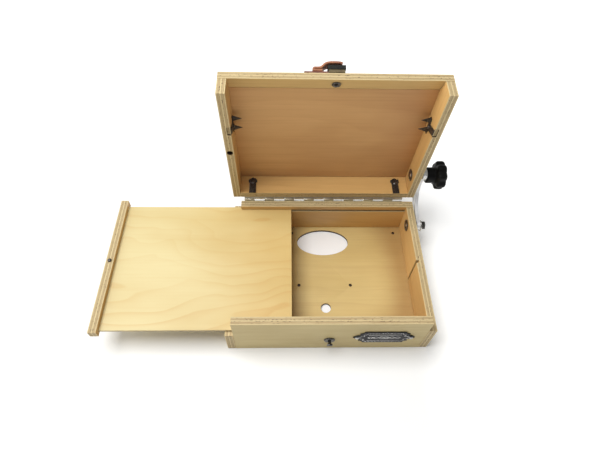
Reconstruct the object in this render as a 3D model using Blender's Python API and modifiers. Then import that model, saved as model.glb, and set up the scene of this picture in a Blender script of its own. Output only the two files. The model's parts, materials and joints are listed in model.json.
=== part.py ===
"""A pocket plein-air easel: a hinged ply box with a sliding palette, a slotted lid stay and clips.

Metres, +Z up. The origin is the centre of the base's underside, and the front faces -Y.
The lid's pieces are drawn where they lie when the lid is shut, relative to the hinge axis,
and an empty on that axis holds the lid open.
"""
import math

import bmesh
import bpy
from mathutils import Matrix, Vector

# ---- driving sizes ----
box_width = 0.242
box_depth = 0.185
ply = 0.0095
wall_height = 0.052
floor_thickness = 0.0032
rabbet_depth = 0.004
gap = 0.0003

thumb_hole_length = 0.071
thumb_hole_width = 0.041
thumb_hole_inset = 0.026
floor_port_radius = 0.0064
floor_port_inset = 0.041
peg_hole_radius = 0.0021
peg_hole_depth = 0.0024
peg_pair_x = 0.034
peg_pair_y = -0.0095
peg_rear_x = -0.043
peg_corner_inset = 0.010

palette_end_play = 0.005
palette_left_inside = 0.0675
palette_over_left_wall = 0.0013
palette_thickness = 0.0032
palette_drop = 0.0070
groove_depth = 0.0045
groove_clearance = 0.0005
strip_seat = 0.0004
lock_pin_head_radius = 0.0024
lock_pin_shank_radius = 0.0013
lock_pin_rise = 0.0026
lock_pin_depth_share = 0.7
lock_hole_radius = 0.0034
lock_hole_depth = 0.0050
divider_slot_width = 0.0034
divider_slot_depth = 0.0036
divider_slot_y = -0.0015

lid_inner_depth = 0.027
slope_drop = 0.0062
slope_run = 0.0175
lid_open_degrees = 85.0

hinge_back = 0.0045
hinge_rise = 0.0035
hinge_margin = 0.014
hinge_knuckles = 16
knuckle_radius = 0.0032
knuckle_play = 0.0004
hinge_pin_radius = 0.0012
running_clearance = 0.0003
leaf_thickness = 0.0012
leaf_height = 0.0115
tab_leaf_share = 0.33
leaf_screws = 4
leaf_screw_inset = 0.020
tab_clearance = 0.0002

screw_shank_radius = 0.0012
screw_head_radius = 0.0026
screw_head_height = 0.0012
screw_length = 0.0075
screw_dome = ((0.62, 0.86), (0.93, 0.45))
screw_straight_share = 0.8

clip_screw_height = 0.016
clip_side_y = -0.029
clip_rear_inset = 0.016
clip_thickness = 0.0008
clip_half_width = 0.0045
clip_wing_reach = 0.0108
clip_wing_span = 0.0120
clip_peak = 0.0008
clip_tail_shift = 0.0080
clip_rear_reach = 0.0060
clip_rear_span = 0.0058
clip_rear_peak = 0.0040
clip_head_rise = 0.0045
clip_shoulder_share = 0.2
clip_wing_root_share = 0.75
clip_wing_tip_share = 0.6
clip_notch_length = 0.0120
clip_notch_depth = 0.0012
clip_notch_width = 0.0042

stay_radius = 0.0388
stay_pivot_angle = 24.1
stay_bolt_angle = 15.5
stay_further_open = 8.0
stay_half_width = 0.0068
stay_thickness = 0.0046
stay_standoff = 0.0030
stay_slot_clearance = 0.0004
stay_slot_lead = 2.0
bolt_radius = 0.0030
bolt_hole_clearance = 0.0003
tee_nut_radius = 0.0078
tee_nut_flange = 0.0011
tee_nut_barrel_radius = 0.0042
tee_nut_barrel_length = 0.0070
washer_radius = 0.0075
washer_thickness = 0.0014
nut_flats = 0.0100
nut_height = 0.0048

knob_lobes = 8
knob_radius = 0.0185
knob_lobe_depth = 0.0024
knob_lobe_sharpness = 1.6
knob_hub_overlap_share = 0.33
knob_disc_height = 0.0125
knob_hub_radius = 0.0103
knob_hub_height = 0.0115
knob_rounding = 0.0030

post_height = 0.027
post_disc_radius = 0.0065
post_disc_thickness = 0.0015
post_stem_radius = 0.0017
post_reach = 0.0076
post_head_length = 0.0066
post_head_width = 0.0036
post_head_thickness = 0.0026
post_head_rounding = 0.0008
post_depth_share = 0.5
post_hole_share = 0.7
post_disc_top_share = 0.8
label_side_inset = 0.0226
label_length = 0.0720
label_width = 0.0300
label_thickness = 0.0012
label_pin_inset = 0.0045
label_body_share = 0.76
label_hollow_share = 0.34
label_tab_share = 0.8
label_corner_share = 0.3
label_pin_share = 0.8

strap_thickness = 0.0016
strap_width = 0.0150
strap_left = 0.0330
strap_right = 0.0083
strap_screw_x = 0.0280
strap_screw_head = 0.0008
fold_thickness = 0.0024
fold_depth = 0.0120
fold_left = 0.0234
fold_foot = 0.0152
fold_lower_end = 0.0143
fold_crown_left = 0.0104
fold_crown_right = 0.0045
fold_tip = 0.0066
fold_crown = 0.0123
keeper_left = 0.0085
keeper_right = 0.0102
keeper_height = 0.0049
plate_left = 0.0078
plate_right = 0.0094
plate_height = 0.0034
insert_x = 0.0004
insert_along = 0.0062
insert_radius = 0.0048
insert_bore_radius = 0.0020
insert_flange = 0.0014
insert_sleeve_share = 0.72
strap_screw_share = 0.6

# ---- sizes that follow ----
half_width = box_width / 2
half_depth = box_depth / 2
front_y = -half_depth
rear_y = half_depth
inner_x = half_width - ply
inner_front = front_y + ply
inner_rear = rear_y - ply
slope_front_depth = lid_inner_depth - slope_drop
front_height = wall_height + slope_front_depth
thumb_hole_y = inner_rear - thumb_hole_inset
floor_port_y = inner_front + floor_port_inset
peg_rear_y = inner_rear - peg_corner_inset
peg_holes = (
    (-peg_pair_x, peg_pair_y),
    (peg_pair_x, peg_pair_y),
    (peg_rear_x, peg_rear_y),
    (inner_x - peg_corner_inset, peg_rear_y),
)
palette_length = 2 * inner_x - palette_end_play
palette_pulled_out = palette_length - palette_left_inside
palette_top = wall_height - palette_drop
palette_bottom = palette_top - palette_thickness
left_height = palette_bottom - palette_over_left_wall
strip_inner_x = -inner_x - palette_pulled_out
strip_middle_x = strip_inner_x - ply / 2
hinge_axis = Vector((0.0, rear_y + hinge_back, wall_height + hinge_rise))
lid_rim = wall_height + gap
lid_panel_low = lid_rim + lid_inner_depth + gap
slope_angle = math.atan2(lid_inner_depth - slope_front_depth, slope_run)
slope_edge = Vector((0.0, front_y, lid_rim + slope_front_depth + gap + ply))
hinge_length = box_width - 2 * hinge_margin
clip_rear_x = inner_x - clip_rear_inset
clip_notch_y = clip_side_y - clip_tail_shift
label_x = half_width - label_side_inset - label_length / 2
label_height = front_height / 2
stay_low = half_width + stay_standoff
stay_middle = stay_low + stay_thickness / 2
stay_high = stay_low + stay_thickness
knob_base = stay_high + washer_thickness + 2 * gap
slot_half_width = bolt_radius + stay_slot_clearance

smooth_angle = math.radians(35)


def around_hinge(radius, degrees):
    """The point this far from the hinge axis, at an angle counted from +Y towards +Z."""
    turn = math.radians(degrees)
    return Vector((0.0, hinge_axis.y + radius * math.cos(turn), hinge_axis.z + radius * math.sin(turn)))


stay_pivot = around_hinge(stay_radius, 180 + stay_pivot_angle)
lid_bolt = around_hinge(stay_radius, 180 - stay_bolt_angle)

# ---- scene, collections and materials ----
for old in list(bpy.data.objects):
    bpy.data.objects.remove(old, do_unlink=True)

easel = bpy.data.collections.new("artist_easel_box")
helpers = bpy.data.collections.new("cutters")
bpy.context.scene.collection.children.link(easel)
bpy.context.scene.collection.children.link(helpers)


def make_material(name, color, roughness, metallic=0.0):
    material = bpy.data.materials.new(name)
    material.use_nodes = True
    shader = material.node_tree.nodes["Principled BSDF"]
    shader.inputs["Base Color"].default_value = (*color, 1.0)
    shader.inputs["Roughness"].default_value = roughness
    shader.inputs["Metallic"].default_value = metallic
    material.diffuse_color = (*color, 1.0)
    return material


def finish(obj, color, roughness, metallic=0.0):
    """Gives the object a material of its own."""
    obj.data.materials.clear()
    obj.data.materials.append(make_material(obj.name + "_finish", color, roughness, metallic))
    return obj


birch = ((0.66, 0.49, 0.27), 0.5)
birch_warm = ((0.55, 0.36, 0.18), 0.5)
palette_wood = ((0.76, 0.57, 0.30), 0.45)
black_steel = ((0.035, 0.03, 0.028), 0.4, 0.8)
nickel = ((0.62, 0.62, 0.6), 0.3, 1.0)
aluminium = ((0.75, 0.76, 0.77), 0.35, 1.0)
black_plastic = ((0.012, 0.012, 0.012), 0.5)
leather = ((0.33, 0.11, 0.05), 0.6)
pewter = ((0.10, 0.10, 0.11), 0.4, 0.9)


# ---- making solids ----
def axis_matrix(point, direction):
    """A frame at a point whose Z axis is the direction."""
    turn = Vector(direction).to_track_quat("Z", "Y").to_matrix().to_4x4()
    return Matrix.Translation(point) @ turn


def frame_matrix(point, x_axis, y_axis):
    """A frame at a point from its X and Y axes."""
    x_axis = Vector(x_axis)
    y_axis = Vector(y_axis)
    turn = Matrix((x_axis, y_axis, x_axis.cross(y_axis))).transposed().to_4x4()
    return Matrix.Translation(point) @ turn


def shut_place(empty):
    """Where a joint's empty lies while the lid is shut."""
    place = Vector()
    while empty is not None:
        place += empty.location
        empty = empty.parent
    return place


def add_object(name, mesh, matrix, parent=None, collection=easel):
    obj = bpy.data.objects.new(name, mesh)
    collection.objects.link(obj)
    if parent is not None:
        obj.parent = parent
        matrix = Matrix.Translation(-shut_place(parent)) @ matrix
    obj.matrix_basis = matrix
    if collection is helpers:
        obj.hide_render = True
        obj.display_type = "WIRE"
    return obj


def mesh_from(work, name):
    mesh = bpy.data.meshes.new(name)
    bmesh.ops.recalc_face_normals(work, faces=work.faces)
    work.to_mesh(mesh)
    work.free()
    return mesh


def block(name, low, high, parent=None, collection=easel):
    """A box between two corners, with its origin at its middle."""
    low = Vector(low)
    high = Vector(high)
    work = bmesh.new()
    bmesh.ops.create_cube(work, size=1.0, matrix=Matrix.Diagonal((*(high - low), 1.0)))
    return add_object(name, mesh_from(work, name), Matrix.Translation((low + high) / 2), parent, collection)


def rods(name, matrices, radius, length, parent=None, collection=helpers, sides=20):
    """One cylinder for each frame, starting at the frame's origin and running along its Z."""
    work = bmesh.new()
    to_first = matrices[0].inverted()
    for matrix in matrices:
        bmesh.ops.create_cone(
            work,
            cap_ends=True,
            segments=sides,
            radius1=radius,
            radius2=radius,
            depth=length,
            matrix=to_first @ matrix @ Matrix.Translation((0.0, 0.0, length / 2)),
        )
    return add_object(name, mesh_from(work, name), matrices[0], parent, collection)


def circle_points(radius, sides=24, center=(0.0, 0.0)):
    steps = [math.tau * i / sides for i in range(sides)]
    return [(center[0] + radius * math.cos(a), center[1] + radius * math.sin(a)) for a in steps]


def arc_points(radius, start, end, steps, center=(0.0, 0.0)):
    """Points on an arc between two angles in degrees, both ends included."""
    angles = [math.radians(start + (end - start) * i / steps) for i in range(steps + 1)]
    return [(center[0] + radius * math.cos(a), center[1] + radius * math.sin(a)) for a in angles]


def sheet(name, outlines, thickness, matrix, parent=None, collection=easel, rounding=0.0, lift=0.0):
    """A flat shape with holes: closed outlines in the frame's XY plane, made solid along its Z."""
    curve = bpy.data.curves.new(name, "CURVE")
    curve.dimensions = "2D"
    curve.fill_mode = "BOTH"
    curve.extrude = thickness / 2 - rounding
    curve.bevel_depth = rounding
    curve.bevel_resolution = 2
    curve.offset = -rounding
    for outline in outlines:
        spline = curve.splines.new("POLY")
        spline.points.add(len(outline) - 1)
        for point, (x, y) in zip(spline.points, outline):
            point.co = (x, y, 0.0, 1.0)
        spline.use_cyclic_u = True
    source = bpy.data.objects.new(name + "_outline", curve)
    helpers.objects.link(source)
    evaluated = source.evaluated_get(bpy.context.evaluated_depsgraph_get())
    mesh = bpy.data.meshes.new_from_object(evaluated)
    bpy.data.objects.remove(source, do_unlink=True)
    work = bmesh.new()
    work.from_mesh(mesh)
    bpy.data.meshes.remove(mesh)
    bmesh.ops.remove_doubles(work, verts=work.verts, dist=1e-6)
    bmesh.ops.translate(work, verts=work.verts, vec=(0.0, 0.0, lift + thickness / 2))
    return add_object(name, mesh_from(work, name), matrix, parent, collection)


def turned(name, profile, matrix, parent=None, steps=24):
    """A turned piece: (radius, height) points down its outer side, spun about the frame's Z."""
    work = bmesh.new()
    corners = [work.verts.new((radius, 0.0, height)) for radius, height in profile]
    for start, end in zip(corners, corners[1:]):
        work.edges.new((start, end))
    if profile[0][0] > 0.0:
        work.edges.new((corners[-1], corners[0]))
    mesh = bpy.data.meshes.new(name)
    work.to_mesh(mesh)
    work.free()
    obj = add_object(name, mesh, matrix, parent)
    screw = obj.modifiers.new("spin", "SCREW")
    screw.steps = steps
    screw.render_steps = steps
    screw.use_merge_vertices = True
    screw.merge_threshold = 0.00001
    screw.use_smooth_shade = True
    return obj


def cut(target, cutter):
    change = target.modifiers.new("cut_" + cutter.name, "BOOLEAN")
    change.operation = "DIFFERENCE"
    change.object = cutter


def weld_on(target, other):
    change = target.modifiers.new("join_" + other.name, "BOOLEAN")
    change.operation = "UNION"
    change.object = other


def shade(obj):
    obj.data.shade_smooth()
    obj.data.set_sharp_from_angle(angle=smooth_angle)
    return obj


def joint_empty(name, point, parent=None):
    empty = bpy.data.objects.new(name, None)
    easel.objects.link(empty)
    empty.empty_display_size = 0.01
    if parent is not None:
        empty.parent = parent
        point = Vector(point) - shut_place(parent)
    empty.location = point
    return empty


def screw_profile(head_radius, head_height, shank_radius, shank_length):
    """A domed head on a shank with a short point, head upwards, and the head's seat at height 0."""
    return [
        (0.0, head_height),
        *((head_radius * across, head_height * up) for across, up in screw_dome),
        (head_radius, 0.0),
        (shank_radius, 0.0),
        (shank_radius, -shank_length * screw_straight_share),
        (0.0, -shank_length),
    ]


# ---- the base ----
def build_base():
    floor_low = (-inner_x - rabbet_depth + gap, inner_front - rabbet_depth + gap, 0.0)
    floor_high = (inner_x + rabbet_depth - gap, inner_rear + rabbet_depth - gap, floor_thickness)
    rabbet_low = (-inner_x - rabbet_depth, inner_front - rabbet_depth, -ply)
    rabbet_high = (inner_x + rabbet_depth, inner_rear + rabbet_depth, floor_thickness + gap)
    rabbet = block("floor_rabbet", rabbet_low, rabbet_high, collection=helpers)
    groove_low = (-half_width - ply, inner_front - groove_depth, palette_bottom - groove_clearance)
    groove_high = (inner_x, inner_rear + groove_depth, palette_top + groove_clearance)
    groove = block("palette_groove", groove_low, groove_high, collection=helpers)

    front_low = (-inner_x + gap, front_y, 0.0)
    rear_low = (-inner_x + gap, inner_rear, 0.0)
    right_high = (half_width, inner_rear - gap, wall_height)
    front = block("base_front_wall", front_low, (inner_x - gap, inner_front, front_height))
    rear = block("base_rear_wall", rear_low, (half_width, rear_y, wall_height))
    left = block("base_left_wall", (-half_width, front_y, 0.0), (-inner_x, rear_y, left_height))
    right = block("base_right_wall", (inner_x, front_y, 0.0), right_high)
    for wall in (front, rear, left, right):
        cut(wall, rabbet)
        finish(wall, *birch)
    for wall in (front, rear):
        cut(wall, groove)

    for side, wall, top in ((-1, left, left_height), (1, right, wall_height)):
        slot_x = sorted((side * (inner_x - ply), side * (inner_x + divider_slot_depth)))
        slot = block(
            wall.name + "_divider_slot",
            (slot_x[0], divider_slot_y - divider_slot_width / 2, -ply),
            (slot_x[1], divider_slot_y + divider_slot_width / 2, top + ply),
            collection=helpers,
        )
        cut(wall, slot)

    floor = block("base_floor", floor_low, floor_high)
    under = Matrix.Translation((0.0, 0.0, -floor_thickness))
    through = 3 * floor_thickness
    long = thumb_hole_length / 2
    wide = thumb_hole_width / 2
    oval = [(x * long, thumb_hole_y + y * wide) for x, y in circle_points(1.0, 48)]
    thumb_hole = sheet("thumb_hole", [oval], through, under, collection=helpers)
    port_place = under @ Matrix.Translation((0.0, floor_port_y, 0.0))
    port = rods("floor_port", [port_place], floor_port_radius, through, sides=32)
    peg_bottom = floor_thickness - peg_hole_depth
    peg_places = [Matrix.Translation((x, y, peg_bottom)) for x, y in peg_holes]
    pegs = rods("peg_holes", peg_places, peg_hole_radius, through, sides=16)
    for cutter in (thumb_hole, port, pegs):
        cut(floor, cutter)
    finish(floor, *birch_warm)
    return front, rear, left, right


# ---- the sliding palette ----
def build_palette():
    slide = joint_empty("palette_slide_axis", (strip_middle_x, 0.0, palette_top))
    tongue = rabbet_depth
    edge_y = half_depth - ply + groove_depth - gap
    panel = block(
        "palette_panel",
        (strip_inner_x - tongue + gap, -edge_y, palette_bottom),
        (strip_inner_x + palette_length, edge_y, palette_top),
        slide,
    )
    finish(panel, *palette_wood)
    strip = block(
        "palette_strip",
        (strip_inner_x - ply, front_y, left_height + strip_seat),
        (strip_inner_x, rear_y, wall_height - strip_seat),
        slide,
    )
    tongue_slot = block(
        "palette_strip_slot",
        (strip_inner_x - tongue, -edge_y - gap, palette_bottom - gap),
        (strip_inner_x + ply, edge_y + gap, palette_top + gap),
        slide,
        helpers,
    )
    cut(strip, tongue_slot)
    pin_depth = lock_pin_depth_share * palette_drop
    top = wall_height - strip_seat
    pin_hole = rods(
        "lock_pin_hole",
        [Matrix.Translation((strip_middle_x, 0.0, top - pin_depth))],
        lock_pin_shank_radius + gap,
        2 * pin_depth,
        slide,
    )
    cut(strip, pin_hole)
    finish(strip, *birch)
    pin_rise = lock_pin_rise - gap
    profile = screw_profile(lock_pin_head_radius, pin_rise, lock_pin_shank_radius, pin_depth - gap)
    pin_place = Matrix.Translation((strip_middle_x, 0.0, top + gap))
    pin = turned("palette_lock_pin", profile, pin_place, slide, 16)
    finish(pin, *black_steel)


# ---- the lid ----
def side_outline():
    """The rail's side, as (y, z) points of the shut lid."""
    return [
        (front_y, lid_rim),
        (rear_y, lid_rim),
        (rear_y, lid_rim + lid_inner_depth),
        (front_y + slope_run, lid_rim + lid_inner_depth),
        (front_y, lid_rim + slope_front_depth),
    ]


def along_x(x):
    """A frame whose XY plane is the world's YZ plane, and whose Z is +X."""
    return frame_matrix((x, 0.0, 0.0), (0.0, 1.0, 0.0), (0.0, 0.0, 1.0))


def build_lid(lid):
    left = sheet("lid_rail_left", [side_outline()], ply, along_x(-half_width), lid)
    right = sheet("lid_rail_right", [side_outline()], ply, along_x(inner_x), lid)
    rear = block(
        "lid_rail_rear",
        (-inner_x + gap, inner_rear, lid_rim),
        (inner_x - gap, rear_y, lid_rim + lid_inner_depth),
        lid,
    )
    panel = block(
        "lid_panel",
        (-half_width, front_y + slope_run + gap, lid_panel_low),
        (half_width, rear_y, lid_panel_low + ply),
        lid,
    )
    slope_low = lid_rim + slope_front_depth + gap
    slope = sheet(
        "lid_front_slope",
        [
            [
                (front_y, slope_low),
                (front_y + slope_run, lid_panel_low),
                (front_y + slope_run, lid_panel_low + ply),
                (front_y, slope_low + ply),
            ]
        ],
        box_width,
        along_x(-half_width),
        lid,
    )
    for piece in (left, right, rear, slope):
        finish(piece, *birch)
    finish(panel, *birch_warm)

    lock_hole = rods(
        "lock_hole",
        [Matrix.Translation((-half_width + ply / 2, 0.0, lid_rim - lock_hole_depth))],
        lock_hole_radius,
        2 * lock_hole_depth,
        lid,
    )
    cut(left, lock_hole)
    for side, rail in ((-1, left), (1, right)):
        notch_x = sorted((side * (inner_x - ply), side * (inner_x + clip_notch_width)))
        notch = block(
            rail.name + "_notch",
            (notch_x[0], clip_notch_y - clip_notch_length / 2, lid_rim - ply),
            (notch_x[1], clip_notch_y + clip_notch_length / 2, lid_rim + clip_notch_depth),
            lid,
            helpers,
        )
        cut(rail, notch)
    return left, right, rear, slope


# ---- the piano hinge ----
def knuckle_spans(first):
    """The (start, end) of every other knuckle along X."""
    pitch = hinge_length / hinge_knuckles
    starts = [-hinge_length / 2 + pitch * i for i in range(first, hinge_knuckles, 2)]
    return [(start + knuckle_play / 2, start + pitch - knuckle_play / 2) for start in starts]


def build_leaf(name, first, up, parent):
    """One leaf with its knuckles, above the axis (up = 1) or below it (up = -1)."""
    face = rear_y + gap
    reach = knuckle_radius + knuckle_play

    def span_block(low, high):
        return sorted((hinge_axis.z + up * low, hinge_axis.z + up * high))

    low, high = span_block(reach, reach + leaf_height)
    leaf = block(
        name,
        (-hinge_length / 2, face, low),
        (hinge_length / 2, face + leaf_thickness, high),
        parent,
    )
    tab_low, tab_high = span_block(0.0, reach + leaf_height * tab_leaf_share)
    for number, (start, end) in enumerate(knuckle_spans(first)):
        tab = block(
            f"{name}_tab_{number}",
            (start + tab_clearance, face + tab_clearance / 2, tab_low),
            (end - tab_clearance, face + leaf_thickness + tab_clearance, tab_high),
            parent,
            helpers,
        )
        weld_on(leaf, tab)
        bore = circle_points(hinge_pin_radius + running_clearance, 12)
        ring = sheet(
            f"{name}_knuckle_{number}",
            [circle_points(knuckle_radius, 20), bore],
            end - start,
            frame_matrix((start, hinge_axis.y, hinge_axis.z), (0.0, 1.0, 0.0), (0.0, 0.0, 1.0)),
            parent,
            helpers,
        )
        weld_on(leaf, ring)
    finish(leaf, *nickel)
    return leaf


def screw_places(height):
    span = hinge_length - 2 * leaf_screw_inset
    return [
        Vector((-span / 2 + span * i / (leaf_screws - 1), rear_y + gap + leaf_thickness, height))
        for i in range(leaf_screws)
    ]


def fasten_leaf(name, leaf, wood, height, parent):
    """Screws through a leaf into the ply behind it, each in its own holes."""
    places = screw_places(height)
    clear = Vector((0.0, leaf_thickness, 0.0))
    inward = [axis_matrix(place + clear, (0.0, -1.0, 0.0)) for place in places]
    hole_length = 2 * leaf_thickness + screw_length + gap
    hole_radius = screw_shank_radius + running_clearance
    holes = rods(name + "_holes", inward, hole_radius, hole_length, parent, sides=12)
    cut(leaf, holes)
    cut(wood, holes)
    profile = screw_profile(screw_head_radius, screw_head_height, screw_shank_radius, screw_length)
    for number, place in enumerate(places, 1):
        seat = axis_matrix(place + Vector((0.0, gap, 0.0)), (0.0, 1.0, 0.0))
        finish(turned(f"{name}_screw_{number}", profile, seat, parent, 16), *nickel)


def build_hinge(rear_wall, rear_rail, lid):
    leaf_middle = knuckle_radius + knuckle_play + leaf_height / 2
    base_leaf = build_leaf("hinge_leaf_base", 0, -1, None)
    lid_leaf = build_leaf("hinge_leaf_lid", 1, 1, lid)
    fasten_leaf("hinge_base", base_leaf, rear_wall, hinge_axis.z - leaf_middle, None)
    fasten_leaf("hinge_lid", lid_leaf, rear_rail, hinge_axis.z + leaf_middle, lid)
    pin_start = axis_matrix((-hinge_length / 2 - gap, hinge_axis.y, hinge_axis.z), (1.0, 0.0, 0.0))
    pin = rods("hinge_pin", [pin_start], hinge_pin_radius, hinge_length + 2 * gap, None, easel, 16)
    finish(shade(pin), *nickel)


# ---- the panel clips ----
def build_clip(name, matrix, rail, lid, wide, reach, peak, shift):
    """A flat spring with two bent wings; shift moves the foot sideways along the rail."""
    head = clip_head_rise
    slim = clip_half_width
    tail = clip_screw_height
    outline = [
        (shift - slim, -tail),
        (shift + slim, -tail),
        (slim, 0.0),
        (wide, head * clip_shoulder_share),
        (wide, head),
        (0.0, head + peak),
        (-wide, head),
        (-wide, head * clip_shoulder_share),
        (-slim, 0.0),
    ]
    hole = circle_points(screw_shank_radius + 2 * running_clearance, 12)
    clip = sheet(name, [outline, hole], clip_thickness, matrix, lid, lift=gap)
    for side in (-1, 1):
        wing_outline = [
            (side * slim * clip_wing_root_share, gap + clip_thickness / 2),
            (side * (wide - gap), gap + clip_thickness / 2),
            (side * wide * clip_wing_tip_share, reach),
        ]
        place = matrix @ frame_matrix((0.0, head - gap / 2, 0.0), (1.0, 0.0, 0.0), (0.0, 0.0, 1.0))
        wing = sheet(f"{name}_wing_{side + 1}", [wing_outline], clip_thickness, place, lid, helpers)
        weld_on(clip, wing)
    finish(clip, *black_steel)

    pilot = matrix @ Matrix.Translation((0.0, 0.0, -screw_length - gap))
    pilot_length = screw_length + 2 * gap
    cut(rail, rods(name + "_pilot", [pilot], screw_shank_radius + gap, pilot_length, lid, sides=12))
    profile = screw_profile(screw_head_radius, screw_head_height, screw_shank_radius, screw_length)
    seat = matrix @ Matrix.Translation((0.0, 0.0, clip_thickness + 2 * gap))
    finish(turned(name + "_screw", profile, seat, lid, 16), *nickel)


def build_clips(left, right, rear, lid):
    height = lid_rim + clip_screw_height
    up = Vector((0.0, 0.0, 1.0))
    side = (clip_wing_span, clip_wing_reach, clip_peak)
    back = (clip_rear_span, clip_rear_reach, clip_rear_peak, 0.0)
    shift = clip_tail_shift
    spots = (
        ("clip_left", (-inner_x, clip_side_y, height), (1.0, 0.0, 0.0), left, (*side, -shift)),
        ("clip_right", (inner_x, clip_side_y, height), (-1.0, 0.0, 0.0), right, (*side, shift)),
        ("clip_rear_left", (-clip_rear_x, inner_rear, height), (0.0, -1.0, 0.0), rear, back),
        ("clip_rear_right", (clip_rear_x, inner_rear, height), (0.0, -1.0, 0.0), rear, back),
    )
    for name, point, inward, rail, sizes in spots:
        build_clip(name, frame_matrix(point, up.cross(Vector(inward)), up), rail, lid, *sizes)


# ---- the lid stay ----
def arc_bar(radius, half, start, end):
    """The outline of a curved bar with round ends, round the local origin; angles in degrees."""
    start_middle = arc_points(radius, start, start, 1)[0]
    end_middle = arc_points(radius, end, end, 1)[0]
    outer = arc_points(radius + half, start, end, 24)
    far_cap = arc_points(half, end, end + 180, 8, end_middle)
    inner = arc_points(radius - half, end, start, 24)
    near_cap = arc_points(half, start + 180, start + 360, 8, start_middle)
    return outer + far_cap[1:-1] + inner + near_cap[1:-1]


def tee_nut(name, point, inward, parent, wall):
    """A flanged nut on a wall's inner face, its barrel in the wall, with the wall's bolt hole."""
    outward = -Vector(inward)
    bore = bolt_radius + bolt_hole_clearance
    barrel = rods(
        name + "_seat",
        [axis_matrix(point - outward * ply, outward)],
        tee_nut_barrel_radius + gap,
        3 * ply,
        parent,
    )
    cut(wall, barrel)
    profile = [
        (tee_nut_radius, tee_nut_flange + gap),
        (tee_nut_radius, gap),
        (tee_nut_barrel_radius, gap),
        (tee_nut_barrel_radius, -tee_nut_barrel_length),
        (bore, -tee_nut_barrel_length),
        (bore, tee_nut_flange + gap),
    ]
    finish(turned(name, profile, axis_matrix(point, inward), parent, 20), *black_steel)


def washer(name, x, thickness, point, parent):
    bore = bolt_radius + bolt_hole_clearance
    place = frame_matrix((x, point.y, point.z), (0.0, 1.0, 0.0), (0.0, 0.0, 1.0))
    rings = [circle_points(washer_radius), circle_points(bore, 20)]
    return finish(shade(sheet(name, rings, thickness, place, parent)), *nickel)


def knob_outline(points_per_lobe=8):
    count = knob_lobes * points_per_lobe
    outline = []
    for i in range(count):
        turn = math.tau * i / count
        dip = knob_lobe_depth * (0.5 - 0.5 * math.cos(knob_lobes * turn)) ** knob_lobe_sharpness
        outline.append(((knob_radius - dip) * math.cos(turn), (knob_radius - dip) * math.sin(turn)))
    return outline


def build_stay(right_wall, right_rail, lid):
    inward = Vector((-1.0, 0.0, 0.0))
    wall_face = Vector((inner_x, 0.0, 0.0))
    tee_nut("stay_tee_nut_base", wall_face + stay_pivot, inward, None, right_wall)
    tee_nut("stay_tee_nut_lid", wall_face + lid_bolt, inward, lid, right_rail)

    # At rest the arm has turned with the lid, so its arc's middle has moved off the pivot by the same turn.
    open_turn = 180 - stay_bolt_angle - lid_open_degrees
    middle = stay_pivot + around_hinge(stay_radius, open_turn) - hinge_axis
    stay_axis = joint_empty("stay_arm_axis", stay_pivot + Vector((stay_middle, 0.0, 0.0)))
    to_pivot = open_turn + 180 - 360
    slot_start = stay_pivot_angle - lid_open_degrees - stay_slot_lead
    slot_end = stay_pivot_angle + stay_further_open
    end_margin = math.degrees((stay_half_width - slot_half_width) / stay_radius)
    bar = arc_bar(stay_radius, stay_half_width, to_pivot, slot_end + end_margin)
    slot = arc_bar(stay_radius, slot_half_width, slot_start, slot_end)
    pivot_hole = circle_points(
        bolt_radius + bolt_hole_clearance, 20, (stay_pivot.y - middle.y, stay_pivot.z - middle.z)
    )
    place = frame_matrix((stay_low, middle.y, middle.z), (0.0, 1.0, 0.0), (0.0, 0.0, 1.0))
    arm = sheet("stay_arm", [bar, slot, pivot_hole], stay_thickness, place, stay_axis)
    finish(shade(arm), *aluminium)

    bolt_start = inner_x - tee_nut_flange
    pivot_bolt_end = stay_high + washer_thickness + 2 * gap + nut_height + 2 * gap
    pivot_start = axis_matrix((bolt_start, stay_pivot.y, stay_pivot.z), (1.0, 0.0, 0.0))
    bolt_length = pivot_bolt_end - bolt_start
    pivot_bolt = rods("stay_pivot_bolt", [pivot_start], bolt_radius, bolt_length, None, easel, 20)
    finish(shade(pivot_bolt), *nickel)
    spacer = stay_standoff - 2 * gap
    washer("stay_spacer_base", half_width + gap, spacer, stay_pivot, None)
    washer("stay_washer_base", stay_high + gap, washer_thickness, stay_pivot, None)
    nut_x = stay_high + washer_thickness + 2 * gap
    nut_place = frame_matrix((nut_x, stay_pivot.y, stay_pivot.z), (0.0, 1.0, 0.0), (0.0, 0.0, 1.0))
    hexagon = circle_points(nut_flats / math.sqrt(3), 6)
    bore = circle_points(bolt_radius + bolt_hole_clearance, 20)
    finish(sheet("stay_pivot_nut", [hexagon, bore], nut_height, nut_place), *black_steel)

    lid_bolt_end = knob_base + knob_hub_height
    lid_start = axis_matrix((bolt_start, lid_bolt.y, lid_bolt.z), (1.0, 0.0, 0.0))
    bolt = rods("knob_bolt", [lid_start], bolt_radius, lid_bolt_end - bolt_start, lid, easel, 20)
    finish(shade(bolt), *nickel)
    washer("stay_spacer_lid", half_width + gap, spacer, lid_bolt, lid)
    washer("stay_washer_lid", stay_high + gap, washer_thickness, lid_bolt, lid)
    build_knob(lid)


def build_knob(lid):
    place = frame_matrix((knob_base, lid_bolt.y, lid_bolt.z), (0.0, 1.0, 0.0), (0.0, 0.0, 1.0))
    knob = sheet(
        "knob",
        [knob_outline()],
        knob_disc_height,
        place,
        lid,
        rounding=knob_rounding,
        lift=knob_hub_height,
    )
    hub_length = knob_hub_height + knob_disc_height * knob_hub_overlap_share
    hub = rods("knob_hub", [place], knob_hub_radius, hub_length, lid, helpers, 32)
    weld_on(knob, hub)
    bore_start = place @ Matrix.Translation((0.0, 0.0, -knob_hub_height))
    bore_length = 2 * knob_hub_height + 2 * gap
    bore = rods("knob_bore", [bore_start], bolt_radius + bolt_hole_clearance, bore_length, lid)
    cut(knob, bore)
    finish(shade(knob), *black_plastic)


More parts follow.
